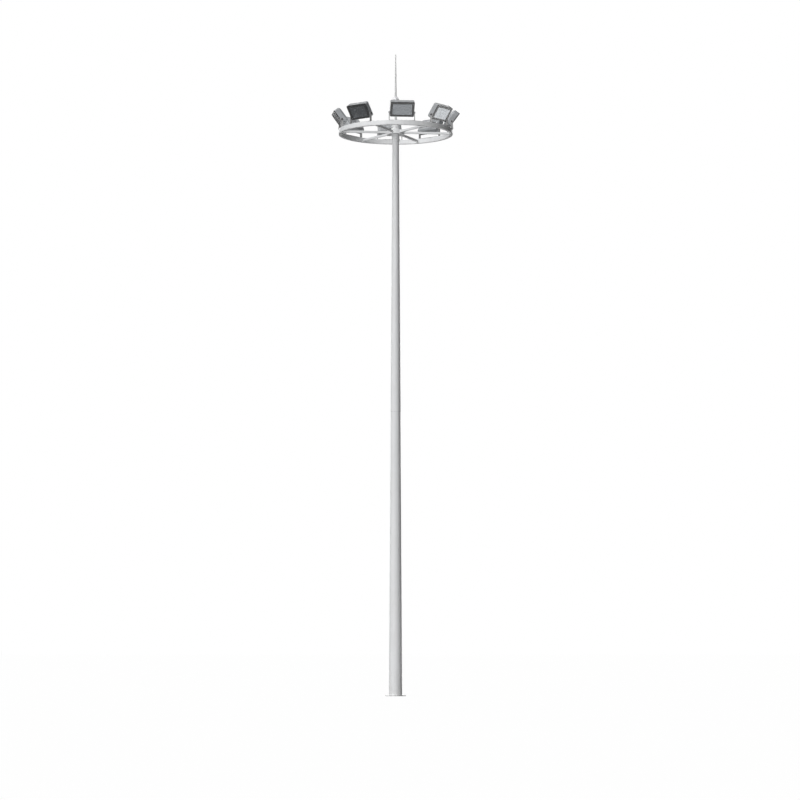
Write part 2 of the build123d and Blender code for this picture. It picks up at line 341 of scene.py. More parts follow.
# %% Mast and ring paint
# Patterns: patches a metre, detail, which part of the noise counts and what it becomes.
STREAKS = (14, 4, (0.35, 0.65))
BLOTCHES = (1.1, 5, (0.5, 0.72), (0, 0.35))
GROUND_DUST = (9, 5, (0.3, 0.7))
SATIN = (6, 3, (0.3, 0.7), (0.36, 0.48))
# Shades: how much lighter than the coat, and how much warmer.
STREAK_DARK = (-0.025, -0.012)
STREAK_LIGHT = (0.02, -0.01)
BLOTCH_DARK = (-0.07, 0.008)
# Dust from the ground: its grey and its warmth, and how high it clings.
DUST_GREY = (0.5, 0.03)
DUST_HEIGHT = 1.1
COAT_GLOSS = 0.42
# The orange peel's patches a metre and detail, and its depth in metres and strength.
PEEL = (260, 2)
PEEL_RELIEF = (0.0004, 0.35)


def coat_finish(name, level, streak_stretch, foot_dust):
    """Light grey satin coat with streaks; foot_dust is how strongly dust shows at the foot."""
    finish, tree, shader = new_finish(name, Specular_IOR_Level=COAT_GLOSS)
    streaks = patches(tree, *STREAKS, stretch=streak_stretch)
    dark, light = shifted(level, STREAK_DARK), shifted(level, STREAK_LIGHT)
    clean = mix_colours(tree, streaks, dark, light)
    weathered = mix_colours(tree, patches(tree, *BLOTCHES), clean, shifted(level, BLOTCH_DARK))
    near_ground = spread(tree, axis_of(tree, metres(tree), "Z"), 0, DUST_HEIGHT, foot_dust, 0)
    dust = calc(tree, "MULTIPLY", near_ground, patches(tree, *GROUND_DUST))
    colour = mix_colours(tree, dust, weathered, grey(*DUST_GREY))
    dress(tree, shader, colour, patches(tree, *SATIN))
    relief(tree, shader, noise(tree, *PEEL), *PEEL_RELIEF)
    return finish


mast_paint = coat_finish("mast_paint", level=0.69, streak_stretch=(1, 1, 0.02), foot_dust=0.3)
ring_paint = coat_finish("ring_paint", level=0.74, streak_stretch=(0.5, 0.5, 0.12), foot_dust=0)
print("coats:", mast_paint.name, ring_paint.name)


# %% [markdown]
# Hot-dip zinc. Zinc cools into flat crystals, the spangle, each of which catches the light a
# little differently. A Voronoi pattern is the usual way to draw them: every cell gets one
# random number, which sets both its brightness and its roughness.

# %% Zinc
DULL_PATCHES = (7, 4, (0.35, 0.7), (0, 0.6))
CRYSTAL_DARK = (-0.07, 0)
CRYSTAL_LIGHT = (0.07, -0.01)
DULL_ZINC = (-0.1, 0.01)
ZINC_ROUGHNESS = (0.36, 0.56)
CRYSTAL_RELIEF = (0.0006, 0.2)


def zinc_finish(name, level, cells, metallic):
    """Galvanised steel with spangle; cells is how many crystals there are along a metre."""
    finish, tree, shader = new_finish(name, Metallic=metallic)
    crystals = node(tree, "ShaderNodeTexVoronoi", {"Vector": metres(tree), "Scale": cells})
    number = out(tree, "ShaderNodeSeparateColor", {0: crystals.outputs["Color"]})
    dark, light = shifted(level, CRYSTAL_DARK), shifted(level, CRYSTAL_LIGHT)
    spangle = mix_colours(tree, number, dark, light)
    dull = patches(tree, *DULL_PATCHES)
    colour = mix_colours(tree, dull, spangle, shifted(level, DULL_ZINC))
    dress(tree, shader, colour, spread(tree, number, 0, 1, *ZINC_ROUGHNESS))
    relief(tree, shader, crystals.outputs["Distance"], *CRYSTAL_RELIEF)
    return finish


flange_zinc = zinc_finish("galvanised_steel", level=0.50, cells=90, metallic=0.4)
rod_zinc = zinc_finish("rod_steel", level=0.56, cells=140, metallic=0.3)
bolt_zinc = zinc_finish("bolt_zinc", level=0.48, cells=400, metallic=0.5)
print("zinc:", flange_zinc.name, rod_zinc.name, bolt_zinc.name)


# %% [markdown]
# Cast floodlight parts and folded brackets have a fine powder coat. It is matt with a tiny
# grain, and dust settles on whatever faces up, which the surface's own Normal tells.

# %% Powder coats
CLOUDS = (5, 4, (0.3, 0.7))
CLOUD_SHARES = (0.92, 1.08)
# How far a face has to look up before dust settles, and how much settles.
SETTLING = (0.35, 1.0, 0, 0.5)
SPECKS = (30, 5, (0.3, 0.6))
DUST_WARMTH = 0.01
GRAIN = (900, 2)
GRAIN_RANGE = (0.3, 0.7)
GRAIN_RELIEF = (0.0003, 0.5)
ROUGHNESS_VARIES = 0.05


def powder_finish(name, level, warmth, roughness, dust_level, gloss):
    """Fine-grained powder coat, with dust on the faces that look up."""
    finish, tree, shader = new_finish(name, Specular_IOR_Level=gloss)
    dark, light = (grey(level * share, warmth) for share in CLOUD_SHARES)
    clean = mix_colours(tree, patches(tree, *CLOUDS), dark, light)
    upward = axis_of(tree, coordinates(tree, "Normal"), "Z")
    settled = spread(tree, upward, *SETTLING)
    dust = calc(tree, "MULTIPLY", settled, patches(tree, *SPECKS))
    colour = mix_colours(tree, dust, clean, grey(dust_level, DUST_WARMTH))
    grain = noise(tree, *GRAIN)
    low, high = roughness - ROUGHNESS_VARIES, roughness + ROUGHNESS_VARIES
    dress(tree, shader, colour, spread(tree, grain, *GRAIN_RANGE, low, high))
    relief(tree, shader, grain, *GRAIN_RELIEF)
    return finish


housing_paint = powder_finish(
    "housing_paint", level=0.34, warmth=-0.035, roughness=0.46, dust_level=0.44, gloss=0.5
)
frame_paint = powder_finish(
    "frame_paint", level=0.045, warmth=-0.02, roughness=0.36, dust_level=0.1, gloss=0.4
)
bracket_paint = powder_finish(
    "bracket_steel", level=0.34, warmth=0, roughness=0.45, dust_level=0.42, gloss=0.5
)
print("powder coats:", housing_paint.name, frame_paint.name, bracket_paint.name)


# %% [markdown]
# The front glass is toughened and slightly grey, so with the lamp off it mostly mirrors what
# lies below it. Real transmission lets the lamp and its reflector show through when it is
# seen from close by.

# %% Front glass
FILM = (12, 5, (0.35, 0.7))
GLASS_CLEAN = (0.16, 0.17, 0.18, 1)
GLASS_DUSTY = (0.20, 0.205, 0.21, 1)
GLASS_ROUGHNESS = (0.05, 0.07)


def glass_finish():
    """Toughened glass with a grey cast and a faint film of dust."""
    finish, tree, shader = new_finish(
        "front_glass", Transmission_Weight=0.9, IOR=1.85, Specular_Tint=(0.92, 0.96, 1.0, 1)
    )
    film = patches(tree, *FILM)
    colour = mix_colours(tree, film, GLASS_CLEAN, GLASS_DUSTY)
    dress(tree, shader, colour, spread(tree, film, 0, 1, *GLASS_ROUGHNESS))
    return finish


front_glass = glass_finish()
print("glass:", front_glass.name)


# %% [markdown]
# Plain finishes, for small pieces. Rubber, plastic, bright metal and ceramic look different
# mostly through their colour, their roughness and how coarse their grain is, so one function
# makes them all from those numbers.

# %% Plain finishes
CLOUD_GRAINS = 20
ROUGHNESS_SHARES = (0.85, 1.15)
FINE_STRENGTH = 0.4


def plain_finish(name, colour, variation, scale, roughness, depth, **values):
    """A finish with a fine grain, and with slight clouds that are many grains wide."""
    finish, tree, shader = new_finish(name, **values)
    cloud = noise(tree, scale / CLOUD_GRAINS, 4)
    shares = (1 - variation, 1 + variation)
    low, high = (tuple(c * share for c in colour) + (1,) for share in shares)
    grain = noise(tree, scale)
    smooth, rough = (roughness * share for share in ROUGHNESS_SHARES)
    grained = spread(tree, grain, *GRAIN_RANGE, smooth, rough)
    dress(tree, shader, mix_colours(tree, cloud, low, high), grained)
    relief(tree, shader, grain, depth, FINE_STRENGTH)
    return finish


# Name, colour, how much it varies, grains a metre, roughness and the grain's depth.
hood_white = plain_finish("hood_white", (0.68, 0.68, 0.695), 0.03, 300, 0.3, 0.0002)
seal_rubber = plain_finish("seal_rubber", (0.022, 0.022, 0.023), 0.3, 500, 0.6, 0.0003)
seal_grey = plain_finish("seal_grey", (0.33, 0.33, 0.34), 0.08, 400, 0.5, 0.0003)
knob_plastic = plain_finish("knob_plastic", (0.03, 0.026, 0.027), 0.2, 700, 0.4, 0.0002)
lamp_glass = plain_finish("lamp_glass", (0.82, 0.83, 0.84), 0.02, 300, 0.12, 0.0001)
ceramic = plain_finish("ceramic", (0.78, 0.77, 0.74), 0.03, 400, 0.35, 0.0002)
stainless = plain_finish("stainless", (0.42, 0.42, 0.43), 0.08, 900, 0.36, 0.0001, Metallic=1.0)
reflector_metal = plain_finish(
    "reflector_metal", (0.76, 0.76, 0.77), 0.03, 120, 0.34, 0.0015, Metallic=1.0
)
scale_metal = plain_finish(
    "scale_metal", (0.40, 0.40, 0.41), 0.06, 600, 0.5, 0.0001, Metallic=0.4
)
print("plain finishes:", seal_rubber.name, knob_plastic.name, stainless.name, "and others")

# %% [markdown]
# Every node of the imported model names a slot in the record. The construction's shapes are
# right as they are, so each node only gets the finish of its slot. The long tubes are round
# shapes made of flat facets, and where the light just grazes them a facet's edge would show as
# a hard line, so their shadows start a little inside the facet's edge.

# %% Finish the construction nodes
SLOT_FINISH = {
    "mast_paint": mast_paint,
    "ring_paint": ring_paint,
    "galvanised_steel": flange_zinc,
    "bracket_steel": bracket_paint,
    "rod_steel": rod_zinc,
    "hood_white": hood_white,
    "housing_paint": housing_paint,
    "frame_paint": frame_paint,
    "front_glass": front_glass,
}
SHADOW_START = 0.2
for part in frame["record"]["subparts"]:
    mesh = nodes[part["node"]].data
    mesh.materials.clear()
    mesh.materials.append(SLOT_FINISH[part["material_slot"]])
for round_node in ("mast_lower", "mast_upper", "head_sleeve"):
    nodes[round_node].shadow_terminator_geometry_offset = SHADOW_START

# %% [markdown]
# Pieces to add. Everything below is small hardware that the construction leaves out. Each piece
# is a mesh with one finish that rides on a body, so one function makes them all. The function
# also sets which edges look sharp: faces that meet at a small angle are shaded as one curved
# surface.

# %% Add a piece
SHARP_ANGLE = math.radians(32)
SLOT_OF = {finish.name: slot for slot, finish in SLOT_FINISH.items()}
SLOT_OF[bolt_zinc.name] = "galvanised_steel"
added = {"pieces": 0, "faces": 0}


def add_piece(name, mesh, finish, body="mast"):
    """Makes an object of a mesh, gives it its finish and lets it ride on a body."""
    mesh.materials.clear()
    mesh.materials.append(finish)
    mesh.shade_smooth()
    mesh.set_sharp_from_angle(angle=SHARP_ANGLE)
    piece = in_scene(name, mesh)
    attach(piece, body)
    added["pieces"] += 1
    added["faces"] += len(mesh.polygons)


# %% [markdown]
# Shapes made by hand. Three kinds of solid cover most small hardware: a block with rounded
# edges, a turned shape, and a band that follows a rounded rectangle. Each is closed, with its
# doubles merged before its normals are worked out, so that all its faces point outwards. The
# block comes first: real cast and pressed metal has no knife edges, so its edges are bevelled.

# %% Blocks
SAME_POINT = 1e-6


def skin(solid, rings):
    """Adds faces between each ring of points and the next."""
    for lower, upper in zip(rings, rings[1:]):
        for i in range(len(lower)):
            j = (i + 1) % len(lower)
            solid.faces.new((lower[i], lower[j], upper[j], upper[i]))


def plain_mesh(name, solid):
    """Turns a mesh under construction into a plain mesh."""
    mesh = bpy.data.meshes.new(name)
    solid.to_mesh(mesh)
    solid.free()
    return mesh


def closed_mesh(name, solid):
    """Merges doubles, turns the faces outwards and returns a plain mesh."""
    bmesh.ops.remove_doubles(solid, verts=solid.verts, dist=SAME_POINT)
    bmesh.ops.recalc_face_normals(solid, faces=solid.faces)
    return plain_mesh(name, solid)


def block(low, high, inset=(0.0, 0.0), edge=0.001):
    """A block from low to high with rounded edges; its +Z face is smaller by inset all round."""
    solid = bmesh.new()
    rings = []
    for z, margin in ((low[2], (0, 0)), (high[2], inset)):
        x_range = (low[0] + margin[0], high[0] - margin[0])
        y_range = (low[1] + margin[1], high[1] - margin[1])
        spots = [(0, 0), (1, 0), (1, 1), (0, 1)]
        rings.append([solid.verts.new((x_range[i], y_range[j], z)) for i, j in spots])
    solid.faces.new(rings[0][::-1])
    solid.faces.new(rings[1])
    skin(solid, rings)
    if edge:
        bmesh.ops.bevel(
            solid, geom=solid.edges[:], offset=edge, segments=2, profile=0.5, affect="EDGES"
        )
    return closed_mesh("block", solid)


# %% [markdown]
# Turned shapes. A nut, a pin, a knob or a washer is an outline turned round an axis. It needs
# only the points of that outline, and a rule for the radius makes the same shape a star.

# %% Turned shapes
def turned(profile, sides=32, shape=None):
    """Turns (radius, height) points round Z; a profile that ends where it starts is a ring.
    shape gives the share of the radius at an angle, for each step along the profile."""
    solid = bmesh.new()
    angles = [2 * math.pi * i / sides for i in range(sides)]
    is_ring = profile[0] == profile[-1]
    rings = []
    for step, (radius, height) in enumerate(profile[:-1] if is_ring else profile):
        reaches = [radius * shape(angle, step) if shape else radius for angle in angles]
        points = [(r * math.cos(a), r * math.sin(a), height) for r, a in zip(reaches, angles)]
        rings.append([solid.verts.new(point) for point in points])
    skin(solid, rings + rings[:1] if is_ring else rings)
    if not is_ring:
        for ring, (radius, _) in zip((rings[0], rings[-1]), (profile[0], profile[-1])):
            if radius > 0:
                solid.faces.new(ring)
    return closed_mesh("turned", solid)


def turned_ring(profile, sides=32):
    """A ring whose section is the given profile."""
    return turned(profile + profile[:1], sides)


def plain_pin(radius, low, high, sides):
    """A straight pin along Z, from low to high."""
    return turned([(0, low), (radius, low), (radius, high), (0, high)], sides)


# %% [markdown]
# Rounded rectangles. Seals and welds run round a floodlight, a door or a steel section, which
# are all rectangles with round corners. The loop gives the points, and a band fills the space
# between two loops.

# %% Rounded rectangles and bands
def rounded_loop(half_width, low, high, radius, steps=8):
    """Points of a rounded rectangle, from low to high in y, as (x, y) pairs."""
    loop = []
    centres = [(1, low + radius), (1, high - radius), (-1, high - radius), (-1, low + radius)]
    for quarter, (side, y) in enumerate(centres):
        x = side * (half_width - radius)
        for step in range(steps + 1):
            angle = math.radians(90 * (quarter - 1) + 90 * step / steps)
            loop.append((x + radius * math.cos(angle), y + radius * math.sin(angle)))
    return loop


def band(outer, inner, low, high):
    """A closed band between two loops with the same number of points, from z low to z high."""
    solid = bmesh.new()
    rings = []
    for loop, z in ((outer, low), (outer, high), (inner, high), (inner, low)):
        rings.append([solid.verts.new((x, y, z)) for x, y in loop])
    skin(solid, rings + rings[:1])
    return closed_mesh("band", solid)


# %% [markdown]
# Places. A shape is drawn round its own origin, where its sizes are easy to read, and a matrix
# puts it in its place. Shapes of one piece are then joined into one mesh.

# %% Places and joining
UP = Vector((0, 0, 1))
AT_REST = Matrix.Identity(4)


def moved(x=0.0, y=0.0, z=0.0):
    """A matrix that moves a mesh."""
    return Matrix.Translation((x, y, z))


def aimed(place, direction):
    """A matrix that puts a shape's origin at a place and its +Z along a direction."""
    turn = Vector(direction).to_track_quat("Z", "Y").to_matrix().to_4x4()
    return Matrix.Translation(place) @ turn


def framed(place, x_axis, y_axis, z_axis):
    """A matrix that puts a shape's origin at a place and its axes along three directions."""
    turn = Matrix((x_axis, y_axis, z_axis)).transposed().to_4x4()
    return Matrix.Translation(place) @ turn


def joined(*parts):
    """Joins meshes into one; each is a mesh, or a (mesh, matrix) pair where it has to move."""
    solid = bmesh.new()
    for part in parts:
        mesh, matrix = part if isinstance(part, tuple) else (part, AT_REST)
        copy = mesh.copy()
        copy.transform(matrix)
        solid.from_mesh(copy)
        bpy.data.meshes.remove(copy)
    return plain_mesh("joined", solid)


# %% [markdown]
# Shapes made by Geometry Nodes. Bolts, screws, ribs and weld beads repeat by a rule, and a node
# tree states that rule once, with named inputs for its sizes. Every tree ends by making its
# instances real, because an exported model can't hold instances. The result is turned into a
# plain mesh before it becomes a piece.

# %% Geometry Nodes helpers
SOCKET_KINDS = {float: "NodeSocketFloat", int: "NodeSocketInt", type(None): "NodeSocketObject"}


def new_tree(name, **sizes):
    """A tree with a geometry input and a named input for each size; None stands for an object."""
    tree = bpy.data.node_groups.new(name, "GeometryNodeTree")
    for way in ("INPUT", "OUTPUT"):
        tree.interface.new_socket("Geometry", in_out=way, socket_type="NodeSocketGeometry")
    for size, value in sizes.items():
        kind = SOCKET_KINDS[type(value)]
        socket = tree.interface.new_socket(size, in_out="INPUT", socket_type=kind)
        if value is not None:
            socket.default_value = value
    return tree, node(tree, "NodeGroupInput").outputs


def end_tree(tree, geometry, finish):
    """Makes the instances real, sets the material, links the output and returns the tree."""
    real = out(tree, "GeometryNodeRealizeInstances", {0: geometry})
    done = out(tree, "GeometryNodeSetMaterial", {"Geometry": real, "Material": finish})
    node(tree, "NodeGroupOutput", {0: done})
    return tree


def grow(tree, mesh, shell=0.0, **sizes):
    """Runs a tree on a mesh and returns a plain mesh; shell gives a thin sheet its thickness."""
    holder = in_scene("holder", mesh)
    modifier = holder.modifiers.new("rule", "NODES")
    modifier.node_group = tree
    for item in tree.interface.items_tree:
        if item.in_out == "INPUT" and item.name in sizes:
            modifier[item.identifier] = sizes[item.name]
    if shell:
        thicken = holder.modifiers.new("shell", "SOLIDIFY")
        thicken.thickness = shell
        thicken.offset = -1
    graph = bpy.context.evaluated_depsgraph_get()
    grown = bpy.data.meshes.new_from_object(holder.evaluated_get(graph))
    holder.modifiers.clear()
    bpy.data.objects.remove(holder)
    facing = grown.attributes.get("facing")
    if facing:
        grown.attributes.remove(facing)
    return grown


# %% [markdown]
# Seats. Where small pieces sit is a list of places, each with the way it faces. They become
# loose points that carry a vector, and a tree sets a piece on each and turns it that way.

# %% Seats and discs
def seats(points):
    """Loose points for a tree to set things on, given as (place, way it faces) pairs."""
    mesh = bpy.data.meshes.new("seats")
    mesh.from_pydata([tuple(place) for place, _ in points], [], [])
    facing = mesh.attributes.new("facing", "FLOAT_VECTOR", "POINT")
    for item, (_, direction) in zip(facing.data, points):
        item.vector = direction
    return mesh


def on_points(tree, points, piece, **more):
    """Sets a piece on every point; more holds the node's other inputs, such as Rotation."""
    inputs = {"Points": points, "Instance": piece}
    return out(tree, "GeometryNodeInstanceOnPoints", inputs | more)


def on_seats(tree, points, piece):
    """Sets a piece on every seat, with its +Z the way the seat faces."""
    wanted = {"Name": "facing"}
    facing = out(
        tree, "GeometryNodeInputNamedAttribute", wanted, "Attribute", data_type="FLOAT_VECTOR"
    )
    turn = out(tree, "FunctionNodeAlignRotationToVector", {"Vector": facing}, axis="Z")
    return on_points(tree, points, piece, Rotation=turn)


def vector(tree, **parts):
    """A vector from its X, Y and Z, which are 0 where they aren't given."""
    return out(tree, "ShaderNodeCombineXYZ", parts)


def disc(tree, sides, bottom, top, height, lift=0.0):
    """A straight or tapered disc that stands at z = lift."""
    inputs = {"Vertices": sides, "Radius Bottom": bottom, "Radius Top": top, "Depth": height}
    cone = out(tree, "GeometryNodeMeshCone", inputs, "Mesh")
    inputs = {"Geometry": cone, "Translation": vector(tree, Z=lift)}
    return out(tree, "GeometryNodeTransform", inputs)


# %% [markdown]
# Bolts. A structural bolt has a hexagon head with a chamfered crown, on a round washer. A lock
# nut is a hexagon with the end of its stud standing out of it. Both are stacks of discs, so
# the tree makes them from a few sizes and sets one on every seat.

# %% Bolt trees
BOLT_SIZES = ("head_radius", "head_height", "washer_radius", "washer_height")
BRACKET_BOLT = (0.0139, 0.01, 0.017, 0.003)
FLAT_SHARE = 0.85
# Shares of the head's radius at the foot and at the top, and of its height.
CROWN_SHARES = (0.95, 0.82, 0.15)
STUD_SHARES = (0.56, 0.46, 0.6)
WASHER_SIDES = 24
NUT_SIDES = 6
CROWN_SIDES = 18
STUD_SIDES = 16


def bolt_tree(name, finish, stud=False):
    """Washer, hexagon and crown on every seat, and a stud on top where stud is true."""
    tree, sizes = new_tree(name, **dict(zip(BOLT_SIZES, BRACKET_BOLT)))
    head_radius, head_height, washer_radius, washer_height = (sizes[size] for size in BOLT_SIZES)

    def tapered(sides, shares, below):
        pairs = zip((head_radius, head_radius, head_height), shares)
        measures = [calc(tree, "MULTIPLY", size, share) for size, share in pairs]
        return disc(tree, sides, *measures, calc(tree, "ADD", washer_height, below))

    flat = calc(tree, "MULTIPLY", head_height, FLAT_SHARE)
    parts = [
        disc(tree, WASHER_SIDES, washer_radius, washer_radius, washer_height),
        disc(tree, NUT_SIDES, head_radius, head_radius, flat, washer_height),
        tapered(CROWN_SIDES, CROWN_SHARES, flat),
    ]
    if stud:
        parts.append(tapered(STUD_SIDES, STUD_SHARES, head_height))
    bolt = node(tree, "GeometryNodeJoinGeometry")
    for part in parts:
        tree.links.new(part, bolt.inputs[0])
    return end_tree(tree, on_seats(tree, sizes["Geometry"], bolt.outputs[0]), finish)


def bolts_at(tree, points, *sizes):
    """Bolts on seats; sizes are the head's radius and height, then the washer's."""
    return grow(tree, seats(points), **dict(zip(BOLT_SIZES, sizes)))


steel_bolts = bolt_tree("steel_bolts", bolt_zinc)
lock_nuts = bolt_tree("lock_nuts", bolt_zinc, stud=True)
small_bolts = bolt_tree("small_bolts", stainless)
test_seat = [((0, 0, 0), UP)]
test_bolt = bolts_at(steel_bolts, test_seat, *BRACKET_BOLT)
print("a bolt has", len(test_bolt.polygons), "faces")


# %% [markdown]
# Socket screws. A screw in sheet metal has a low round head with a hexagon socket, so its
# turned shape changes from round to hexagonal at the socket. That is easier by hand than in a
# tree, so the head is an object that the tree reads, scales and sets on every seat.

# %% Socket screws
def hexagon_at(angle):
    """Distance from the middle of a hexagon to its side at an angle, as a share of its corner."""
    corner = 2 * math.pi / NUT_SIDES
    return math.cos(corner / 2) / math.cos(angle % corner - corner / 2)


def socket_shape(angle, step):
    """The socket, at the profile's second and third points, is a hexagon in a round head."""
    return hexagon_at(angle) if step in (1, 2) else 1.0


SOCKET_PROFILE = [(0, 0.5), (0.5, 0.5), (0.5, 1), (0.8, 1), (1, 0.6), (1, 0), (0, 0)]
SOCKET_SIDES = 24
# Socket screws: radius and height of the head.
FRAME_SCREW = (0.0075, 0.0045)
HINGE_SCREW = (0.0042, 0.0026)
socket_head = in_scene("socket_head", turned(SOCKET_PROFILE, SOCKET_SIDES, socket_shape))


def socket_tree(name, finish):
    """The given round head, one unit in radius and height, scaled and set on every seat."""
    radius, height = FRAME_SCREW
    tree, sizes = new_tree(name, head=None, radius=radius, height=height)
    scale = vector(tree, X=sizes["radius"], Y=sizes["radius"], Z=sizes["height"])
    head = out(tree, "GeometryNodeObjectInfo", {"Object": sizes["head"]}, "Geometry")
    sized = out(tree, "GeometryNodeTransform", {"Geometry": head, "Scale": scale})
    return end_tree(tree, on_seats(tree, sizes["Geometry"], sized), finish)


def screws_at(points, radius, height):
    """Socket screws on seats."""
    return grow(socket_screws, seats(points), head=socket_head, radius=radius, height=height)


socket_screws = socket_tree("socket_screws", stainless)
test_screw = screws_at(test_seat, *FRAME_SCREW)
print("a screw has", len(test_screw.polygons), "faces")


# %% [markdown]
# Where a floodlight's own pieces go. Each floodlight is drawn once in its own axes: x across
# it, y up its face, z out of its glass, with the origin on its pivot. The joint gives the pivot
# and the axis, and the front of the glass gives the way it faces, so nothing is measured twice.

# %% Measure the floodlights
LIGHTS = range(1, 9)
JOINTS = {joint["name"]: joint for joint in frame["joints"]}
BACKWARDS = (0, 0, -1)
SAME_WAY = 0.9999
LARGE_SHARE = 0.3


def pivot_of(number):
    """A floodlight's pivot point and the direction of its axis."""
    joint = JOINTS[f"floodlight_{number}_tilt"]
    return Vector(joint["pos_m"]), Vector(joint["axis"]).normalized()


def light_place(number):
    """The matrix from a floodlight's own axes to the tower's axes."""
    pivot, across = pivot_of(number)
    faces = nodes[f"floodlight_{number}_glass"].data.polygons
    front = max((face for face in faces if face.normal.z < 0), key=lambda face: face.area)
    outwards = (front.normal - across * front.normal.dot(across)).normalized()
    return framed(pivot, across, outwards.cross(across), outwards)


def local_box(name, place):
    """Lowest and highest corners of a node in its own axes."""
    back = place.inverted()
    points = [back @ vertex.co for vertex in nodes[name].data.vertices]
    return [Vector([pick(point[i] for point in points) for i in range(3)]) for pick in (min, max)]


def level(name, direction, place=AT_REST):
    """How far out along a local direction a node's outermost large flat face lies."""
    back = place.inverted()
    areas = {}
    for face in nodes[name].data.polygons:
        if (back.to_3x3() @ face.normal).dot(direction) > SAME_WAY:
            height = round((back @ face.center).dot(direction), 4)
            areas[height] = areas.get(height, 0) + face.area
    large = LARGE_SHARE * max(areas.values())
    return max(height for height, area in areas.items() if area > large)


# %% [markdown]
# The sizes that the small pieces need are read off the first floodlight, in its own axes: the
# others are the same shape. One function gives every floodlight its own copy of a piece, on
# its own body, so that the piece tilts with it.

# %% Sizes of a floodlight
PLACES = {number: light_place(number) for number in LIGHTS}
FIRST = PLACES[1]
frame_low, frame_high = local_box("floodlight_1_frame", FIRST)
glass_low, glass_high = local_box("floodlight_1_glass", FIRST)
_, housing_high = local_box("floodlight_1_housing", FIRST)
LIGHT_BACK = -level("floodlight_1_housing", Vector(BACKWARDS), FIRST)
LIGHT_SIDE = frame_high.x
LIGHT_FOOT = frame_low.y
LIGHT_TOP = frame_high.y
FRAME_FRONT = frame_high.z
FRAME_BACK = frame_low.z
GLASS_MID = (glass_low.y + glass_high.y) / 2
PIVOT_END = housing_high.x
CORNER_RADIUS = 0.046
print("floodlight", round(2 * LIGHT_SIDE, 3), "x", round(LIGHT_TOP - LIGHT_FOOT, 3), "m")
print("back at", LIGHT_BACK, "and pivot end at", round(PIVOT_END, 4))


def add_to_lights(name, mesh, finish):
    """Gives every floodlight its own copy of a mesh drawn in its own axes."""
    for number, place in PLACES.items():
        copy = mesh.copy()
        copy.transform(place)
        add_piece(f"floodlight_{number}_{name}", copy, finish, f"floodlight_{number}")
    print(name, "on", len(PLACES), "floodlights,", len(mesh.polygons), "faces each")


# %% [markdown]
# Reflector. Behind the glass lies a pressed aluminium trough: a parabola from top to bottom
# that closes softly at both ends, so that the lamp's light leaves as one wide beam. That is a
# rule, so Geometry Nodes bend a flat grid by it, and a thin shell then gives it its metal.

# %% Reflector
REFLECTOR_DEPTH = 0.186
REFLECTOR_LAP = 0.02
SHEET = 0.0015
MOUTH = FRAME_BACK - 0.004
END_POWER = 7
SIDE_POWER = 2.2
REFLECTOR_GRID = (57, 37)


def reflector_tree():
    """Bends a grid into a trough that is deepest along its middle."""
    tree, sizes = new_tree(
        "reflector",
        half_width=glass_high.x + REFLECTOR_LAP,
        half_height=(glass_high.y - glass_low.y) / 2 + REFLECTOR_LAP,
        mouth=MOUTH,
        depth=REFLECTOR_DEPTH,
    )
    width = calc(tree, "MULTIPLY", sizes["half_width"], 2)
    height = calc(tree, "MULTIPLY", sizes["half_height"], 2)
    columns, rows = REFLECTOR_GRID
    inputs = {"Size X": width, "Size Y": height, "Vertices X": columns, "Vertices Y": rows}
    grid = out(tree, "GeometryNodeMeshGrid", inputs, "Mesh")
    spot = out(tree, "GeometryNodeInputPosition")
    shares = []
    for axis, half, power in (("X", "half_width", END_POWER), ("Y", "half_height", SIDE_POWER)):
        way = calc(tree, "ABSOLUTE", calc(tree, "DIVIDE", axis_of(tree, spot, axis), sizes[half]))
        shares.append(calc(tree, "SUBTRACT", 1, calc(tree, "POWER", way, power)))
    depth = calc(tree, "MULTIPLY", calc(tree, "MULTIPLY", *shares), sizes["depth"])
    z = calc(tree, "SUBTRACT", sizes["mouth"], depth)
    target = vector(tree, X=axis_of(tree, spot, "X"), Y=axis_of(tree, spot, "Y"), Z=z)
    bent = out(tree, "GeometryNodeSetPosition", {"Geometry": grid, "Position": target})
    return end_tree(tree, bent, reflector_metal)


reflector = grow(reflector_tree(), seats([]), shell=SHEET)
reflector.transform(moved(y=GLASS_MID))
add_to_lights("reflector", reflector, reflector_metal)

# %% [markdown]
# Lamp. A discharge lamp is a clear tube with a dome at each end, held by ceramic caps in two
# folded holders. It lies along the reflector at about its focus. The tube and its caps are
# turned shapes, laid on their side.

# %% Lamp and its holders
LAMP_HALF = 0.13
LAMP_RADIUS = 0.0125
FOCUS = 0.062
LAMP_Z = MOUTH - REFLECTOR_DEPTH + FOCUS
CAP_LENGTH = 0.034
LAMP_SIDES = 24
DOME_ANGLES = (0, 0.4, 0.8, 1.2)
DOME_LAP = 0.004
# Ceramic cap: from its face on the lamp outwards.
CAP_PROFILE = [(0, 0), (0.0145, 0), (0.0155, 0.002), (0.0155, 0.02), (0.011, 0.023)]
CAP_PROFILE += [(0.011, CAP_LENGTH), (0, CAP_LENGTH)]
CAP_GAP = 0.002
# Holder: how far past the lamp's end it stands, and its corners from there.
HOLDER_OUT = 0.03
HOLDER_CORNERS = ((-0.005, -0.014, -0.05), (0.005, 0.014, 0.008))
lamp_axis = moved(y=GLASS_MID, z=LAMP_Z) @ Matrix.Rotation(math.radians(90), 4, "Y")
dome = [(LAMP_RADIUS * math.cos(a), LAMP_RADIUS * math.sin(a)) for a in DOME_ANGLES]
tube_end = LAMP_HALF - DOME_LAP
profile = [(0, -tube_end - LAMP_RADIUS)] + [(r, -tube_end - h) for r, h in reversed(dome)]
profile += [(r, tube_end + h) for r, h in dome] + [(0, tube_end + LAMP_RADIUS)]
add_to_lights("lamp", joined((turned(profile, LAMP_SIDES), lamp_axis)), lamp_glass)

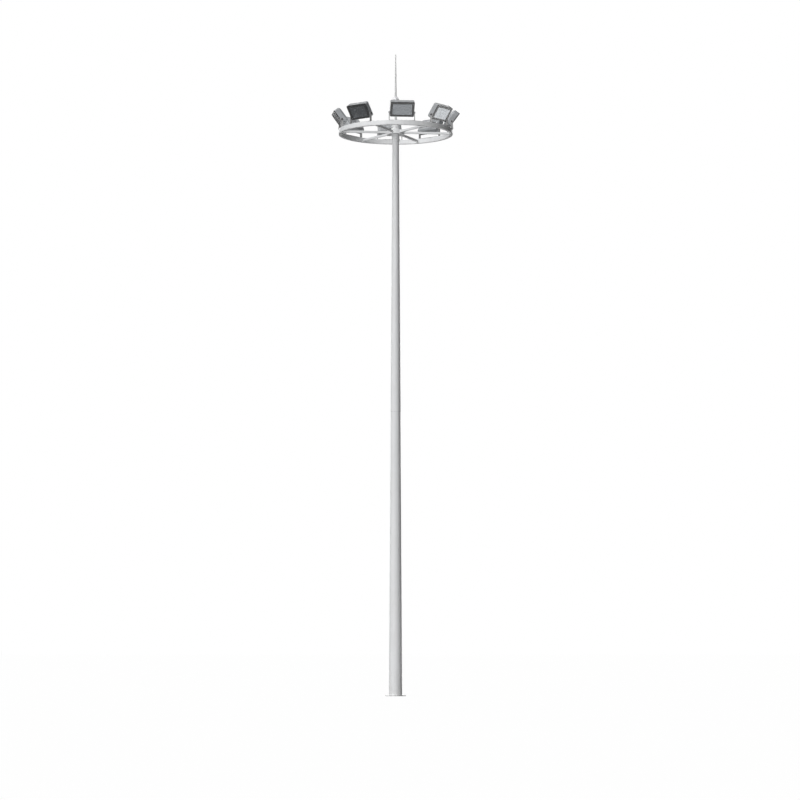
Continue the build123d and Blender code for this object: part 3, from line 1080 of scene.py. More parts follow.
cap = turned(CAP_PROFILE, LAMP_SIDES)
parts = []
for side in (-1, 1):
    cap_spot = (side * (LAMP_HALF + CAP_GAP), GLASS_MID, LAMP_Z)
    parts.append((cap, aimed(cap_spot, (side, 0, 0))))
    spot = (side * (LAMP_HALF + HOLDER_OUT), GLASS_MID, LAMP_Z)
    ends = [[a + b for a, b in zip(spot, corner)] for corner in HOLDER_CORNERS]
    parts.append(block(*ends))
add_to_lights("lamp_holders", joined(*parts), ceramic)

# %% [markdown]
# Seal and screws of the front frame. The frame closes on a rubber seal, which shows as a thin
# black line round the housing. Ten socket screws hold the frame on. The seal is a band between
# two rounded rectangles, a hair wider than the housing.

# %% Seal and frame screws
SEAL_PROUD = 0.0006
SEAL_SUNK = -0.004
SEAL_CORNER = CORNER_RADIUS - 0.0046
SEAL_HALF = 0.0016
FLUSH = 0.0002
SCREW_X = 0.19
SCREW_INSET = 0.07
# How far out of the middle of the frame's bars the screws stand.
SIDE_SHIFT = 0.003
END_SHIFT = 0.002


def light_outline(grow_by, radius):
    """The floodlight's outline, grown all round."""
    return rounded_loop(LIGHT_SIDE + grow_by, LIGHT_FOOT - grow_by, LIGHT_TOP + grow_by, radius)


outer = light_outline(SEAL_PROUD, CORNER_RADIUS)
inner = light_outline(SEAL_SUNK, SEAL_CORNER)
seal = band(outer, inner, FRAME_BACK - SEAL_HALF, FRAME_BACK + SEAL_HALF)
add_to_lights("seal", seal, seal_rubber)

side_mid = (LIGHT_SIDE + glass_high.x) / 2 + SIDE_SHIFT
foot_mid = (LIGHT_FOOT + glass_low.y) / 2 - END_SHIFT
top_mid = (LIGHT_TOP + glass_high.y) / 2 + END_SHIFT
light_mid = (LIGHT_FOOT + LIGHT_TOP) / 2
side_heights = (LIGHT_FOOT + SCREW_INSET, light_mid, LIGHT_TOP - SCREW_INSET)
spots = []
for side in (-1, 1):
    spots += [(side * side_mid, y) for y in side_heights]
    spots += [(side * SCREW_X, y) for y in (foot_mid, top_mid)]
screw_seats = [((x, y, FRAME_FRONT - FLUSH), UP) for x, y in spots]
add_to_lights("frame_screws", screws_at(screw_seats, *FRAME_SCREW), stainless)

# %% [markdown]
# Back of the housing. Cast upright fins carry the heat off, five on each side. One fin is made
# by hand, with draft and sloping ends as a casting has, and a tree repeats it along a line.

# %% Cooling fins
FIN_FIRST = 0.178
FIN_GAP = 0.037
FIN_COUNT = 5
FIN_HEIGHT = 0.014
FIN_HALF = 0.0035
FIN_SINK = 0.003
FIN_MARGIN = 0.078
FIN_INSET = (0.0013, 0.02)


def fin_tree():
    """Repeats the given fin along a line across the housing."""
    tree, sizes = new_tree("fins", first=FIN_FIRST, gap=FIN_GAP, count=FIN_COUNT)
    inputs = {
        "Count": sizes["count"],
        "Start Location": vector(tree, X=sizes["first"]),
        "Offset": vector(tree, X=sizes["gap"]),
    }
    line = out(tree, "GeometryNodeMeshLine", inputs)
    return end_tree(tree, on_points(tree, line, sizes["Geometry"]), housing_paint)


half_turn = Matrix.Rotation(math.pi, 4, "Y")
fin_top = (FIN_HALF, LIGHT_TOP - FIN_MARGIN, FIN_HEIGHT + FIN_SINK)
fin = block((-FIN_HALF, LIGHT_FOOT + FIN_MARGIN, 0), fin_top, FIN_INSET)
fin.transform(half_turn)
fin.transform(moved(z=LIGHT_BACK + FIN_SINK))
fins = fin_tree()
right_fins = grow(fins, fin)
left_fins = grow(fins, fin, first=-FIN_FIRST, gap=-FIN_GAP)
print(2 * FIN_COUNT, "fins,", len(right_fins.polygons), "faces on each side")

# %% [markdown]
# Cover, hinges and latches. Between the fins a bolted cover gives access to the wiring, above
# the cable gland. The front frame hangs on three pins in lugs along its top, and two latches
# under its foot hold it shut. All of them are small blocks and pins with rounded edges, which
# catch the light as cast and pressed metal does.

# %% Cover, hinge lugs and latches
COVER_HALF = 0.13
COVER_LOW = 0.045
COVER_HIGH = 0.30
COVER_THICK = 0.006
COVER_BOLT = (0.0075, 0.005, 0.0095, 0.0015)
BOLT_MARGIN = 0.014
LUG_REACH = 0.009
HINGES_X = (-0.27, 0.0, 0.27)
LATCH_X = 0.25
LATCH_BACK = 0.008
PIN_Z = 0.004
PIN_SHARE = 0.3
# Blocks: lowest and highest corners, inset of the outer face and rounding of the edges.
COVER_TOP = (COVER_HALF, COVER_HIGH, COVER_THICK)
COVER = ((-COVER_HALF, COVER_LOW, -0.001), COVER_TOP, (0, 0), 0.0015)
LUG = ((-0.018, -0.006, -0.02), (0.018, LUG_REACH, 0.016), (0.002, 0.003), 0.002)
PLATE = ((-0.014, -0.03, -0.001), (0.014, 0.006, 0.002), (0, 0), 0.0008)
LEVER = ((-0.010, -0.034, 0.001), (0.010, 0.012, 0.007), (0.001, 0.006), 0.0012)
KEEPER = ((-0.011, 0.014, -0.001), (0.011, 0.026, 0.007), (0.001, 0.003), 0.0012)
# Pins: radius, both ends and number of sides.
LATCH_PIN = (0.0025, -0.013, 0.013, 12)
HINGE_PIN = (0.004, -0.022, 0.022, 16)

cover, lug, plate, lever, keeper = (block(*sizes) for sizes in (COVER, LUG, PLATE, LEVER, KEEPER))
on_back = moved(z=LIGHT_BACK) @ half_turn
lugs = [(lug, moved(x, LIGHT_TOP, FRAME_BACK)) for x in HINGES_X]
casting = joined(right_fins, left_fins, (cover, on_back), *lugs)
add_to_lights("casting", casting, housing_paint)

cover_spots = []
for x in (-COVER_HALF + BOLT_MARGIN, COVER_HALF - BOLT_MARGIN):
    for y in (COVER_LOW + BOLT_MARGIN, COVER_HIGH - BOLT_MARGIN):
        cover_spots.append(((x, y, LIGHT_BACK - COVER_THICK + FLUSH), BACKWARDS))
latch_pin = plain_pin(*LATCH_PIN)
latch = joined(plate, lever, keeper, (latch_pin, aimed((0, PIN_Z, PIN_Z), (1, 0, 0))))
hinge_pin = plain_pin(*HINGE_PIN)
foot_turn = Matrix.Rotation(math.radians(90), 4, "X")
fittings = [bolts_at(small_bolts, cover_spots, *COVER_BOLT)]
for x in (-LATCH_X, LATCH_X):
    fittings.append((latch, moved(x, LIGHT_FOOT, FRAME_BACK - LATCH_BACK) @ foot_turn))
for x in HINGES_X:
    spot = (x, LIGHT_TOP + LUG_REACH * PIN_SHARE, FRAME_BACK + 0.001)
    fittings.append((hinge_pin, aimed(spot, (1, 0, 0))))
add_to_lights("fittings", joined(*fittings), stainless)

# %% [markdown]
# Pivots and gland. The floodlight is clamped at its angle by a star knob on each pivot, outside
# the bracket. A star's outline is a circle whose radius swells five times a turn. The cable
# gland gets its hexagon body, dome nut and blanking plug, since no cable is fitted.

# %% Knobs and gland nut
LOBES = 5
SWELL = 0.13
GLAND_Y = -0.008
KNOB_SINK = 0.0005
# Outlines from the axis outwards and up: radius and height.
KNOB = [(0, 0), (0.013, 0), (0.013, 0.003), (0.026, 0.0042), (0.0305, 0.0065)]
KNOB += [(0.031, 0.0125), (0.028, 0.0155), (0.016, 0.017), (0, 0.017)]
KNOB_SIDES = 60
GLAND_BODY = [(0, 0), (0.021, 0), (0.021, 0.009), (0.0195, 0.0105), (0, 0.0105)]
GLAND_NUT = [(0, 0.010), (0.0185, 0.010), (0.0185, 0.019), (0.0165, 0.0225)]
GLAND_NUT += [(0.012, 0.0238), (0, 0.0238)]


def star(angle, step):
    """Radius share of a lobed knob."""
    return 1 + SWELL * math.cos(LOBES * angle)


knob = turned(KNOB, KNOB_SIDES, star)
gland_body = turned(GLAND_BODY, NUT_SIDES)
gland_nut = turned(GLAND_NUT, 24)
on_gland = aimed((0, GLAND_Y, LIGHT_BACK + FLUSH), BACKWARDS)
parts = []
for side in (-1, 1):
    parts.append((knob, aimed((side * (PIVOT_END - KNOB_SINK), 0, 0), (side, 0, 0))))
parts += [(gland_body, on_gland), (gland_nut, on_gland)]
add_to_lights("knobs_and_gland", joined(*parts), knob_plastic)


# %% [markdown]
# Aiming scales. A disc behind each knob has a mark every ten degrees, so that a fitter can set
# all floodlights to one angle. The disc is turned, and a tree repeats the mark round it.

# %% Aiming scales
SCALE_SINK = 0.0003
SCALE_THICK = 0.003
SCALE_SIDES = 48
SCALE = [(0.0305, 0), (0.06, 0), (0.06, 0.0024), (0.0595, SCALE_THICK), (0.0305, SCALE_THICK)]
MARK_SIZE = (0.009, 0.0014, 0.0008)
MARK_CIRCLE = 0.053
MARK_COUNT = 36


def scale_tree():
    """Short marks in a circle round Z, standing a little proud of a disc."""
    length, width, height = MARK_SIZE
    tree, sizes = new_tree(
        "scale_marks", radius=MARK_CIRCLE, count=MARK_COUNT, length=length, width=width
    )
    inputs = {"Vertices": sizes["count"], "Radius": sizes["radius"]}
    circle = out(tree, "GeometryNodeMeshCircle", inputs)
    size = vector(tree, X=sizes["length"], Y=sizes["width"], Z=height)
    mark = out(tree, "GeometryNodeMeshCube", {"Size": size}, "Mesh")
    spot = out(tree, "GeometryNodeInputPosition")
    turn = out(tree, "FunctionNodeAlignRotationToVector", {"Vector": spot}, axis="X")
    return end_tree(tree, on_points(tree, circle, mark, Rotation=turn), scale_metal)


marks = grow(scale_tree(), seats([]))
scale_disc = turned_ring(SCALE, SCALE_SIDES)
scales = []
for side in (-1, 1):
    on_side = aimed((side * (LIGHT_SIDE - SCALE_SINK), 0, 0), (side, 0, 0))
    scales += [(scale_disc, on_side), (marks, on_side @ moved(z=SCALE_THICK))]
add_to_lights("aiming_scales", joined(*scales), scale_metal)
print(added["pieces"], "pieces so far,", added["faces"], "faces")

# %% [markdown]
# Bracket bolts. Three bolts hold each bracket's foot bar to the ring, in a line along the
# floodlight's axis. The bar's top is the bracket's flat face that looks up, so the seats are
# found on it and the tree sets a bolt on each.

# %% Bracket bolts
BOLT_SPACING = 0.15
BAR_TOP = level("bracket_1", UP)
bolt_seats = []
for number in LIGHTS:
    pivot, across = pivot_of(number)
    middle = Vector((pivot.x, pivot.y, BAR_TOP))
    bolt_seats += [(middle + across * step * BOLT_SPACING, UP) for step in (-1, 0, 1)]
add_piece("bracket_bolts", bolts_at(steel_bolts, bolt_seats, *BRACKET_BOLT), bolt_zinc)
print(len(bolt_seats), "bolts on bars at", BAR_TOP, "m")

# %% [markdown]
# Weld beads. A weld is a ripple of frozen metal pools. Each bead here is a path turned into a
# curve, with points closer together than its ripples, whose radius swells and shrinks along
# it. A small circle is then swept along the path. A seal is the same tree with no ripple.

# %% Weld tree
BEAD_SIDES = 7
RIPPLE_STEPS = 3


def bead_tree(name, finish):
    """Sweeps a small circle along the given edges; its radius ripples along the path."""
    tree, sizes = new_tree(name, radius=0.005, step=0.003, ripple=0.16, every=RIPPLE_STEPS)
    path = out(tree, "GeometryNodeMeshToCurve", {0: sizes["Geometry"]})
    inputs = {"Curve": path, "Length": sizes["step"]}
    even = out(tree, "GeometryNodeResampleCurve", inputs, mode="LENGTH")
    place = calc(tree, "MODULO", out(tree, "GeometryNodeInputIndex"), sizes["every"])
    share = calc(tree, "DIVIDE", place, sizes["every"])
    swell = calc(tree, "SUBTRACT", 1, calc(tree, "MULTIPLY", share, sizes["ripple"]))
    inputs = {"Resolution": BEAD_SIDES, "Radius": sizes["radius"]}
    circle = out(tree, "GeometryNodeCurvePrimitiveCircle", inputs)
    inputs = {"Curve": even, "Profile Curve": circle, "Fill Caps": True, "Scale": swell}
    return end_tree(tree, out(tree, "GeometryNodeCurveToMesh", inputs), finish)


def beads(tree, paths, radius, step, ripple=0.0):
    """Beads along paths, which are given as (points, whether it closes) pairs."""
    points, edges = [], []
    for path, closes in paths:
        first = len(points)
        points += [tuple(point) for point in path]
        edges += [(i, i + 1) for i in range(first, len(points) - 1)]
        if closes:
            edges.append((len(points) - 1, first))
    mesh = bpy.data.meshes.new("paths")
    mesh.from_pydata(points, edges, [])
    return grow(tree, mesh, radius=radius, step=step, ripple=ripple)


def circle_path(radius, z, count=96):
    """A closed path: a level circle round the mast's axis."""
    turns = [2 * math.pi * i / count for i in range(count)]
    return [(radius * math.cos(t), radius * math.sin(t), z) for t in turns], True


mast_welds = bead_tree("mast_welds", mast_paint)
ring_welds = bead_tree("ring_welds", ring_paint)
seals = bead_tree("seals", seal_rubber)
print("weld trees:", mast_welds.name, ring_welds.name, seals.name)

# %% [markdown]
# The mast's taper. It grows thinner all the way up, so where a piece sits depends on its
# height. The radius is read from the construction's own rings of points, and a direction round
# the mast is given by its angle from the front.

# %% Directions and radii
SAME_HEIGHT = 1e-4


def outwards_at(angle):
    """Level direction from the mast's axis; 0 degrees is the front and +90 is +X."""
    turn = math.radians(angle)
    return Vector((math.sin(turn), -math.cos(turn), 0))


def radius_near(name, z):
    """A node's outer radius at a height, from its rings of points below and above it."""
    rings = {}
    for vertex in nodes[name].data.vertices:
        height = round(vertex.co.z, 3)
        rings[height] = max(rings.get(height, 0), vertex.co.xy.length)
    low = max(height for height in rings if height <= z + SAME_HEIGHT)
    high = min(height for height in rings if height >= z - SAME_HEIGHT)
    share = (z - low) / (high - low) if high > low else 0
    return rings[low] + (rings[high] - rings[low]) * share


print("the mast's radius is", round(radius_near("mast_lower", 1.0), 3), "m at a metre's height")

# %% [markdown]
# Welds on the mast. A fillet weld joins the mast to its flange, another joins it to the head
# sleeve, and each tube has one straight seam at the back, where its plate was closed. The upper
# tube slips over the lower one, and a line of sealant keeps rain out of that joint.

# %% Mast welds and slip joint
FLANGE_TOP = level("base_flange", UP)
SLIP_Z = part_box("mast_upper")[0].z
SLEEVE_LOW, SLEEVE_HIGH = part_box("head_sleeve")
TOE = 0.002
SEAM_SINK = 0.0022
SLIP_PROUD = 0.0025
SLIP_DROP = 0.0005
# Beads: radius, step along the path and ripple.
FILLET = (0.0065, 0.0035, 0.2)
SEAM = (0.004, 0.022, 0.07)
SEALANT = (0.0032, 0.03)
SEAMS = (
    ("mast_lower", 152, FLANGE_TOP + 0.012, SLIP_Z - 0.012),
    ("mast_upper", 205, SLIP_Z + 0.004, SLEEVE_LOW.z - 0.012),
)
foot_radius = radius_near("mast_lower", FLANGE_TOP)
neck_radius = radius_near("mast_upper", SLEEVE_LOW.z)
fillets = [circle_path(foot_radius + TOE, FLANGE_TOP + TOE)]
fillets.append(circle_path(neck_radius + TOE, SLEEVE_LOW.z - TOE))
seams = []
for name, angle, low, high in SEAMS:
    run = outwards_at(angle)
    ends = [run * (radius_near(name, z) - SEAM_SINK) + UP * z for z in (low, high)]
    seams.append((ends, False))
mast_beads = joined(beads(mast_welds, fillets, *FILLET), beads(mast_welds, seams, *SEAM))
add_piece("mast_weld_beads", mast_beads, mast_paint)

slip_radius = radius_near("mast_lower", SLIP_Z) + SLIP_PROUD
slip_seal = beads(seals, [circle_path(slip_radius, SLIP_Z - SLIP_DROP)], *SEALANT)
add_piece("slip_joint_seal", slip_seal, seal_grey)
print("mast beads", len(mast_beads.polygons), "faces, foot radius", round(foot_radius, 4))

# %% [markdown]
# Welds of the ring. The hub is welded to the sleeve above and below, and each spoke is welded
# all round at both ends. The ring itself is rolled in three lengths, with a dressed butt weld
# between them. The spokes' directions are read from the construction: they are where the
# spokes' points lie furthest out.

# %% Hub, spoke and ring welds
RING_LOW, RING_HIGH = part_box("outer_ring")
HUB_LOW, HUB_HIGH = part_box("hub")
SPOKE_LOW, SPOKE_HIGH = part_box("spokes")
RING_RADIUS = RING_HIGH.x
RING_INNER = min(vertex.co.xy.length for vertex in nodes["outer_ring"].data.vertices)
HUB_RADIUS = HUB_HIGH.x
SLEEVE_RADIUS = SLEEVE_HIGH.x
SPOKE_HALF_WIDTH = 0.03
TIP_DEPTH = 0.002
# Rounded corners of the sections: radius and steps.
SPOKE_CORNER = (0.006, 3)
RING_CORNER = (0.008, 4)
SPOKE_STEP = 60
BUTT_ANGLES = (21, 141, 261)
SINK = 0.001
HUB_FILLET = (0.006, 0.0035, 0.2)
SPOKE_FILLET = (0.0045, 0.003, 0.2)
BUTT_BEAD = (0.0025, 0.006, 0.1)

tips = [vertex.co for vertex in nodes["spokes"].data.vertices]
reach = max(tip.xy.length for tip in tips)
ends = [tip for tip in tips if tip.xy.length > reach - TIP_DEPTH]
seen = {round(math.degrees(math.atan2(tip.x, -tip.y))) % SPOKE_STEP for tip in ends}
SPOKE_TURN = sum(seen) / len(seen)

hub_paths = [circle_path(SLEEVE_RADIUS + TOE, HUB_LOW.z - TOE)]
hub_paths.append(circle_path(SLEEVE_RADIUS + TOE, HUB_HIGH.z + TOE))
spoke_loop = rounded_loop(SPOKE_HALF_WIDTH, SPOKE_LOW.z, SPOKE_HIGH.z, *SPOKE_CORNER)
spoke_paths = []
for turn in range(0, 360, SPOKE_STEP):
    run = outwards_at(SPOKE_TURN + turn)
    side = UP.cross(run)
    for radius in (HUB_RADIUS + SINK, RING_INNER - SINK):
        spoke_paths.append(([run * radius + side * x + UP * z for x, z in spoke_loop], True))
ring_mid = (RING_RADIUS + RING_INNER) / 2
ring_half = (RING_RADIUS - RING_INNER) / 2 - SINK
butt_loop = rounded_loop(ring_half, RING_LOW.z + SINK, RING_HIGH.z - SINK, *RING_CORNER)
butt_paths = []
for angle in BUTT_ANGLES:
    run = outwards_at(angle)
    butt_paths.append(([run * (ring_mid + x) + UP * z for x, z in butt_loop], True))
ring_beads = joined(
    beads(ring_welds, hub_paths, *HUB_FILLET),
    beads(ring_welds, spoke_paths, *SPOKE_FILLET),
    beads(ring_welds, butt_paths, *BUTT_BEAD),
)
add_piece("ring_weld_beads", ring_beads, ring_paint)
print("spokes at", SPOKE_TURN, "degrees and every", SPOKE_STEP)

# %% [markdown]
# Head sleeve. The sleeve is centred on the mast by two rows of set screws, each with a lock nut
# on a small round boss, and the cap plate on top is bolted. All of them repeat round a circle,
# so a few numbers give a ring of seats, and the bolt trees set a bolt on each.

# %% Sleeve screws and cap bolts
def circle_seats(radius, z, count, first, facing=None):
    """Seats round a circle, facing outwards or the way that is given."""
    runs = [outwards_at(first + 360 * i / count) for i in range(count)]
    return [(run * radius + UP * z, facing or run) for run in runs]


LOCK_NUT = (0.0138, 0.0125, 0.0185, 0.0055)
PLATE_BOLT = (0.0104, 0.0075, 0.0125, 0.0025)
SET_SINK = 0.0005
CAP_SINK = 0.0003
CAP_MARGIN = 0.022
# Bolts in a circle: how many, and the angle of the first.
SET_SCREWS = (6, 6)
CAP_BOLTS = (6, 36)
CAP_TOP = SLEEVE_HIGH.z
SCREW_ROWS = (SLEEVE_LOW.z + 0.08, HUB_HIGH.z + 0.085)
set_screws = []
for z in SCREW_ROWS:
    set_screws += circle_seats(SLEEVE_RADIUS - SET_SINK, z, *SET_SCREWS)
screw_ends = bolts_at(lock_nuts, set_screws, *LOCK_NUT)
cap_seats = circle_seats(SLEEVE_RADIUS - CAP_MARGIN, CAP_TOP - CAP_SINK, *CAP_BOLTS, UP)
cap_bolts = bolts_at(steel_bolts, cap_seats, *PLATE_BOLT)
add_piece("sleeve_bolts", joined(screw_ends, cap_bolts), bolt_zinc)
print("sleeve bolts:", len(set_screws), "set screws and", len(cap_seats), "cap bolts")

# %% [markdown]
# Post foot. The rod's post stands on a round foot flange, with four gussets and a weld round
# it. A gusset is a block whose top outer corner is pulled in, so that it tapers upwards.

# %% Post foot
POST_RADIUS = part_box("rod_post")[1].x
FOOT_FLANGE = 0.082
FOOT_THICK = 0.012
FOOT_BEVEL = 0.0015
FOOT_SIDES = 48
# A gusset's y runs up the post and its z outwards; its top reaches out less than its foot.
GUSSET = ((-0.003, 0, 0), (0.003, 0.085, 0.038))
GUSSET_TOP = 0.008
GUSSET_ANGLES = (45, 135, 225, 315)
POST_FILLET = (0.0035, 0.003, 0.2)
bore = POST_RADIUS - SINK
profile = [(bore, 0), (FOOT_FLANGE, 0), (FOOT_FLANGE, FOOT_THICK - FOOT_BEVEL)]
profile += [(FOOT_FLANGE - FOOT_BEVEL, FOOT_THICK), (bore, FOOT_THICK)]
gusset = block(*GUSSET, edge=0)
_, rise, reach = GUSSET[1]
for vertex in gusset.vertices:
    if vertex.co.y > rise / 2 and vertex.co.z > reach / 2:
        vertex.co.z = GUSSET_TOP
post_parts = [(turned_ring(profile, FOOT_SIDES), moved(z=CAP_TOP))]
for angle in GUSSET_ANGLES:
    run = outwards_at(angle)
    spot = run * bore + UP * (CAP_TOP + FOOT_THICK - SINK)
    post_parts.append((gusset, framed(spot, UP.cross(run), UP, run)))
post_path = circle_path(POST_RADIUS + FOOT_BEVEL, CAP_TOP + FOOT_THICK + FOOT_BEVEL)
post_parts.append(beads(mast_welds, [post_path], *POST_FILLET))
add_piece("post_foot", joined(*post_parts), ring_paint)
print("post foot", 2 * FOOT_FLANGE, "m across")

# %% [markdown]
# Rod. A hexagon nut clamps the rod in the hood, a coupling joins its two lengths, and a small
# collar sits under its tip. The last two are rings that fit the rod's own radius there.

# %% Rod nut, coupling and collar
ROD_LOW, ROD_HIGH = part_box("lightning_rod")
# Outlines: radius and height, or how far out of the rod and how far above the middle.
ROD_NUT = [(0.030, 0), (0.0445, 0), (0.0445, 0.004), (0.0425, 0.005), (0.0425, 0.024)]
ROD_NUT += [(0.0395, 0.027), (0.030, 0.027)]
COUPLING_HALF = [(0.0055, 0.042), (0.003, 0.045), (-0.003, 0.045)]
COUPLING = [(x, -z) for x, z in reversed(COUPLING_HALF)] + COUPLING_HALF
COLLAR = [(-0.002, -0.012), (0.004, -0.012), (0.004, 0.010), (0.002, 0.012), (-0.002, 0.012)]
COUPLING_Z = ROD_LOW.z + 0.76
COLLAR_Z = ROD_HIGH.z - 0.09


def rod_ring(z, steps, sides):
    """A ring on the rod, from steps of (how far out of the rod, how far above z)."""
    radius = radius_near("lightning_rod", z)
    return turned_ring([(radius + proud, rise) for proud, rise in steps], sides), moved(z=z)


rod_nut = turned_ring(ROD_NUT, NUT_SIDES)
coupling = rod_ring(COUPLING_Z, COUPLING, 32)
collar = rod_ring(COLLAR_Z, COLLAR, 24)
rod_parts = joined((rod_nut, moved(z=ROD_LOW.z - SINK)), coupling, collar)
add_piece("rod_fittings", rod_parts, rod_zinc)
print("rod coupling at", round(COUPLING_Z, 3), "m")

# %% [markdown]
# Hood and its screws. The white hood is a rolled cap: a bead runs round its rim and another a
# little higher, and small screws hold it to the post's top plate. Their circle of seats and
# the foot's bolts come from the same function.

# %% Hood beads and head bolts
HOOD_LOW, HOOD_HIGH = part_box("rod_hood")
HOOD_RADIUS = HOOD_HIGH.x
HOOD_SCREW = (0.005, 0.0035, 0.0065, 0.001)
HOOD_SCREW_Z = 0.016
FOOT_MARGIN = 0.018
RIM_BEAD = (0.0035, 0.01)
RIM_HEIGHTS = (0.004, 0.036)
RIM_SINK = 0.0022
RIM_POINTS = 72
# Bolts in a circle: how many, and the angle of the first.
FOOT_BOLTS = (4, 0)
HOOD_SCREWS = (6, 30)

foot_top = CAP_TOP + FOOT_THICK - FLUSH
foot_seats = circle_seats(FOOT_FLANGE - FOOT_MARGIN, foot_top, *FOOT_BOLTS, UP)
hood_seats = circle_seats(HOOD_RADIUS - CAP_SINK, HOOD_LOW.z + HOOD_SCREW_Z, *HOOD_SCREWS)
foot_bolts = bolts_at(steel_bolts, foot_seats, *PLATE_BOLT)
hood_screws = bolts_at(small_bolts, hood_seats, *HOOD_SCREW)
add_piece("head_bolts", joined(foot_bolts, hood_screws), bolt_zinc)

rim = HOOD_RADIUS - RIM_SINK
rims = [circle_path(rim, HOOD_LOW.z + rise, RIM_POINTS) for rise in RIM_HEIGHTS]
rim_beads = beads(bead_tree("hood_beads", hood_white), rims, *RIM_BEAD)
add_piece("hood_rim_beads", rim_beads, hood_white)
print(len(foot_seats), "foot bolts and", len(hood_seats), "hood screws")

# %% [markdown]
# Door hinges. The access door at the back hangs on three barrel hinges. A barrel is turned, with
# its knuckles in the outline. All of it follows the mast's curve, so every place is given as a
# sideways offset and a height.

# %% Door hinges
DOOR_LOW, DOOR_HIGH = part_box("access_door")
DOOR_HALF = DOOR_HIGH.x
RIM_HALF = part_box("door_frame")[1].x
DOOR_MID = (DOOR_LOW.z + DOOR_HIGH.z) / 2
BARREL_LENGTH = 0.085
KNUCKLES = 5
KNUCKLE_GAP = 0.0006
KNUCKLE_EDGE = 0.0008
BARREL_OUT = 0.0125
# A hinge's two wings: how far to the side of its barrel, and how far out of the tube.
WINGS = ((0.026, 0.0005), (-0.012, 0.0075))
SCREW_RISES = (-0.02, 0.02)
SCREW_OUT = 0.0028
HINGE_INSET = 0.16
HINGE_SHIFT = 0.003
BARREL_RADIUS = 0.0078
BARREL_NECK = 0.0068
WING = ((-0.016, -0.034, -0.001), (0.016, 0.034, 0.003), (0, 0), 0.0008)


def on_mast(x, z, proud):
    """A point at a sideways offset and height on the back of the lower tube, and its facing."""
    radius = radius_near("mast_lower", z) + proud
    flat = Vector((x, math.sqrt(radius ** 2 - x ** 2), 0))
    return flat + UP * z, flat.normalized()


profile = [(0, -BARREL_LENGTH / 2)]
for k in range(KNUCKLES):
    low = BARREL_LENGTH * (k / KNUCKLES - 0.5) + KNUCKLE_GAP
    high = BARREL_LENGTH * ((k + 1) / KNUCKLES - 0.5) - KNUCKLE_GAP
    profile += [(BARREL_NECK, low), (BARREL_RADIUS, low + KNUCKLE_EDGE)]
    profile += [(BARREL_RADIUS, high - KNUCKLE_EDGE), (BARREL_NECK, high)]
barrel = turned(profile + [(0, BARREL_LENGTH / 2)], 20)
wing = block(*WING)
hinge_parts = []
wing_screws = []
hinge_x = -(DOOR_HALF + RIM_HALF) / 2 - HINGE_SHIFT
for z in (DOOR_LOW.z + HINGE_INSET, DOOR_MID, DOOR_HIGH.z - HINGE_INSET):
    spot, _ = on_mast(hinge_x, z, BARREL_OUT)
    hinge_parts.append((barrel, Matrix.Translation(spot)))
    for side, lift in WINGS:
        spot, facing = on_mast(hinge_x + side, z, lift)
        hinge_parts.append((wing, framed(spot, UP.cross(facing), UP, facing)))
        for rise in SCREW_RISES:
            wing_screws.append((spot + UP * rise + facing * SCREW_OUT, facing))
add_piece("door_hinges", joined(*hinge_parts), mast_paint)
print(len(wing_screws), "screws in the wings")

# %% [markdown]
# Door locks and screws. The door has two locks for a triangular key, as such doors have: a
# round dish with a three-sided post in it. The hinges' screws are of the same zinc, so they
# are joined to the locks.

# %% Door locks and screws
LOCK_INSET = 0.24
LOCK_MARGIN = 0.034
LOCK_SINK = 0.0004
LOCK_DISH = [(0, 0), (0.019, 0), (0.019, 0.003), (0.0165, 0.0055), (0.010, 0.0055)]
LOCK_DISH += [(0.0092, 0.002), (0, 0.002)]
LOCK_KEY = [(0, 0.0015), (0.0058, 0.0015), (0.0055, 0.0052), (0, 0.0052)]

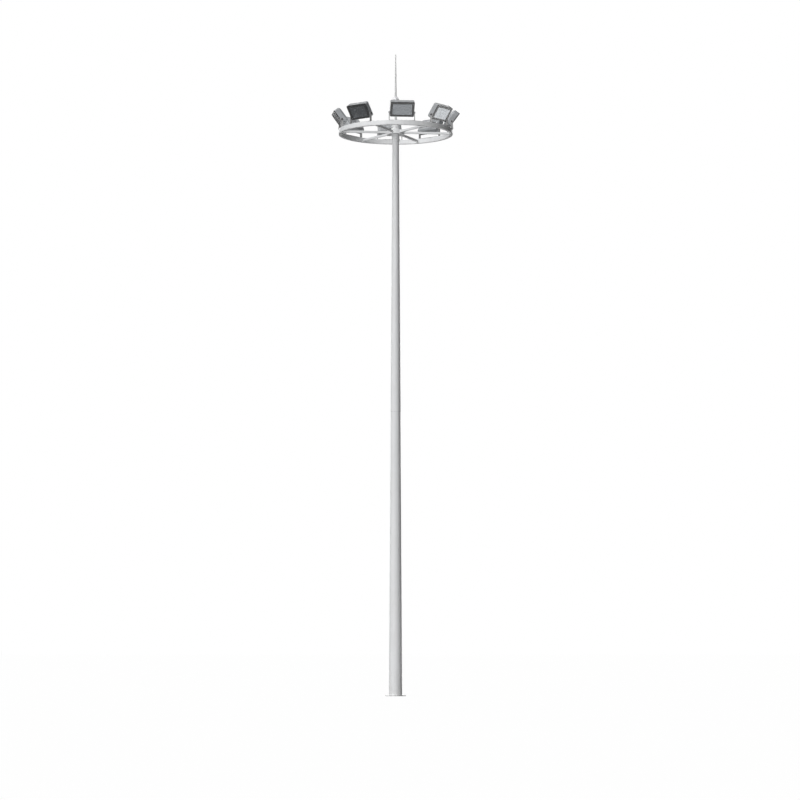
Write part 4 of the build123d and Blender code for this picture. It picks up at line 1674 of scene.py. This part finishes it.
dish = turned(LOCK_DISH)
key_post = turned(LOCK_KEY, 3)
lock_parts = []
for z in (DOOR_LOW.z + LOCK_INSET, DOOR_HIGH.z - LOCK_INSET):
    on_door = aimed(*on_mast(DOOR_HALF - LOCK_MARGIN, z, -LOCK_SINK))
    lock_parts += [(dish, on_door), (key_post, on_door)]
lock_parts.append(screws_at(wing_screws, *HINGE_SCREW))
bpy.data.objects.remove(socket_head)
add_piece("door_locks", joined(*lock_parts), bolt_zinc)
print(len(lock_parts), "shapes in the locks and screws")

# %% [markdown]
# Door seal. A rubber cord lies in the narrow gap round the door leaf. It is the bead tree again,
# with no ripple, along a rounded rectangle that is bent round the mast: its long sides are
# divided into short steps, so that every point can be put on the tube.

# %% Door seal
DOOR_CORNER = 0.06
SEAL_GAP = 0.0012
SEAL_DEPTH = -0.002
SEAL_STEP = 0.02
SEAL_CORD = (0.0021, 0.012)
half_height = (DOOR_HIGH.z - DOOR_LOW.z) / 2 + SEAL_GAP
outline = rounded_loop(DOOR_HALF + SEAL_GAP, -half_height, half_height, DOOR_CORNER)
door_path = []
for (x, z), (next_x, next_z) in zip(outline, outline[1:] + outline[:1]):
    pieces = max(1, round(math.hypot(next_x - x, next_z - z) / SEAL_STEP))
    for share in [k / pieces for k in range(pieces)]:
        way_x, way_z = (next_x - x) * share, (next_z - z) * share
        door_path.append(on_mast(x + way_x, DOOR_MID + z + way_z, SEAL_DEPTH)[0])
add_piece("door_seal", beads(seals, [(door_path, True)], *SEAL_CORD), seal_rubber)
print("door seal along", len(door_path), "points")

# %% [markdown]
# Earthing. The lightning rod's current runs down the steel itself, so the tower's own earthing
# point is low on the mast: a welded boss with a stainless bolt and washer, here without its
# cable, which leads away.

# %% Earthing boss
EARTH_ANGLE = 128
EARTH_Z = 0.34
BOSS_HEIGHT = 0.015
BOSS = [(0, -0.006), (0.022, -0.006), (0.022, 0.013), (0.0205, BOSS_HEIGHT), (0, BOSS_HEIGHT)]
EARTH_BOLT = (0.0104, 0.0078, 0.0165, 0.003)
run = outwards_at(EARTH_ANGLE)
spot = run * radius_near("mast_lower", EARTH_Z) + UP * EARTH_Z
add_piece("earthing_boss", joined((turned(BOSS), aimed(spot, run))), flange_zinc)
earth_seat = spot + run * (BOSS_HEIGHT - FLUSH)
add_piece("earthing_bolt", bolts_at(small_bolts, [(earth_seat, run)], *EARTH_BOLT), stainless)
print(added["pieces"], "pieces in all,", added["faces"], "faces")
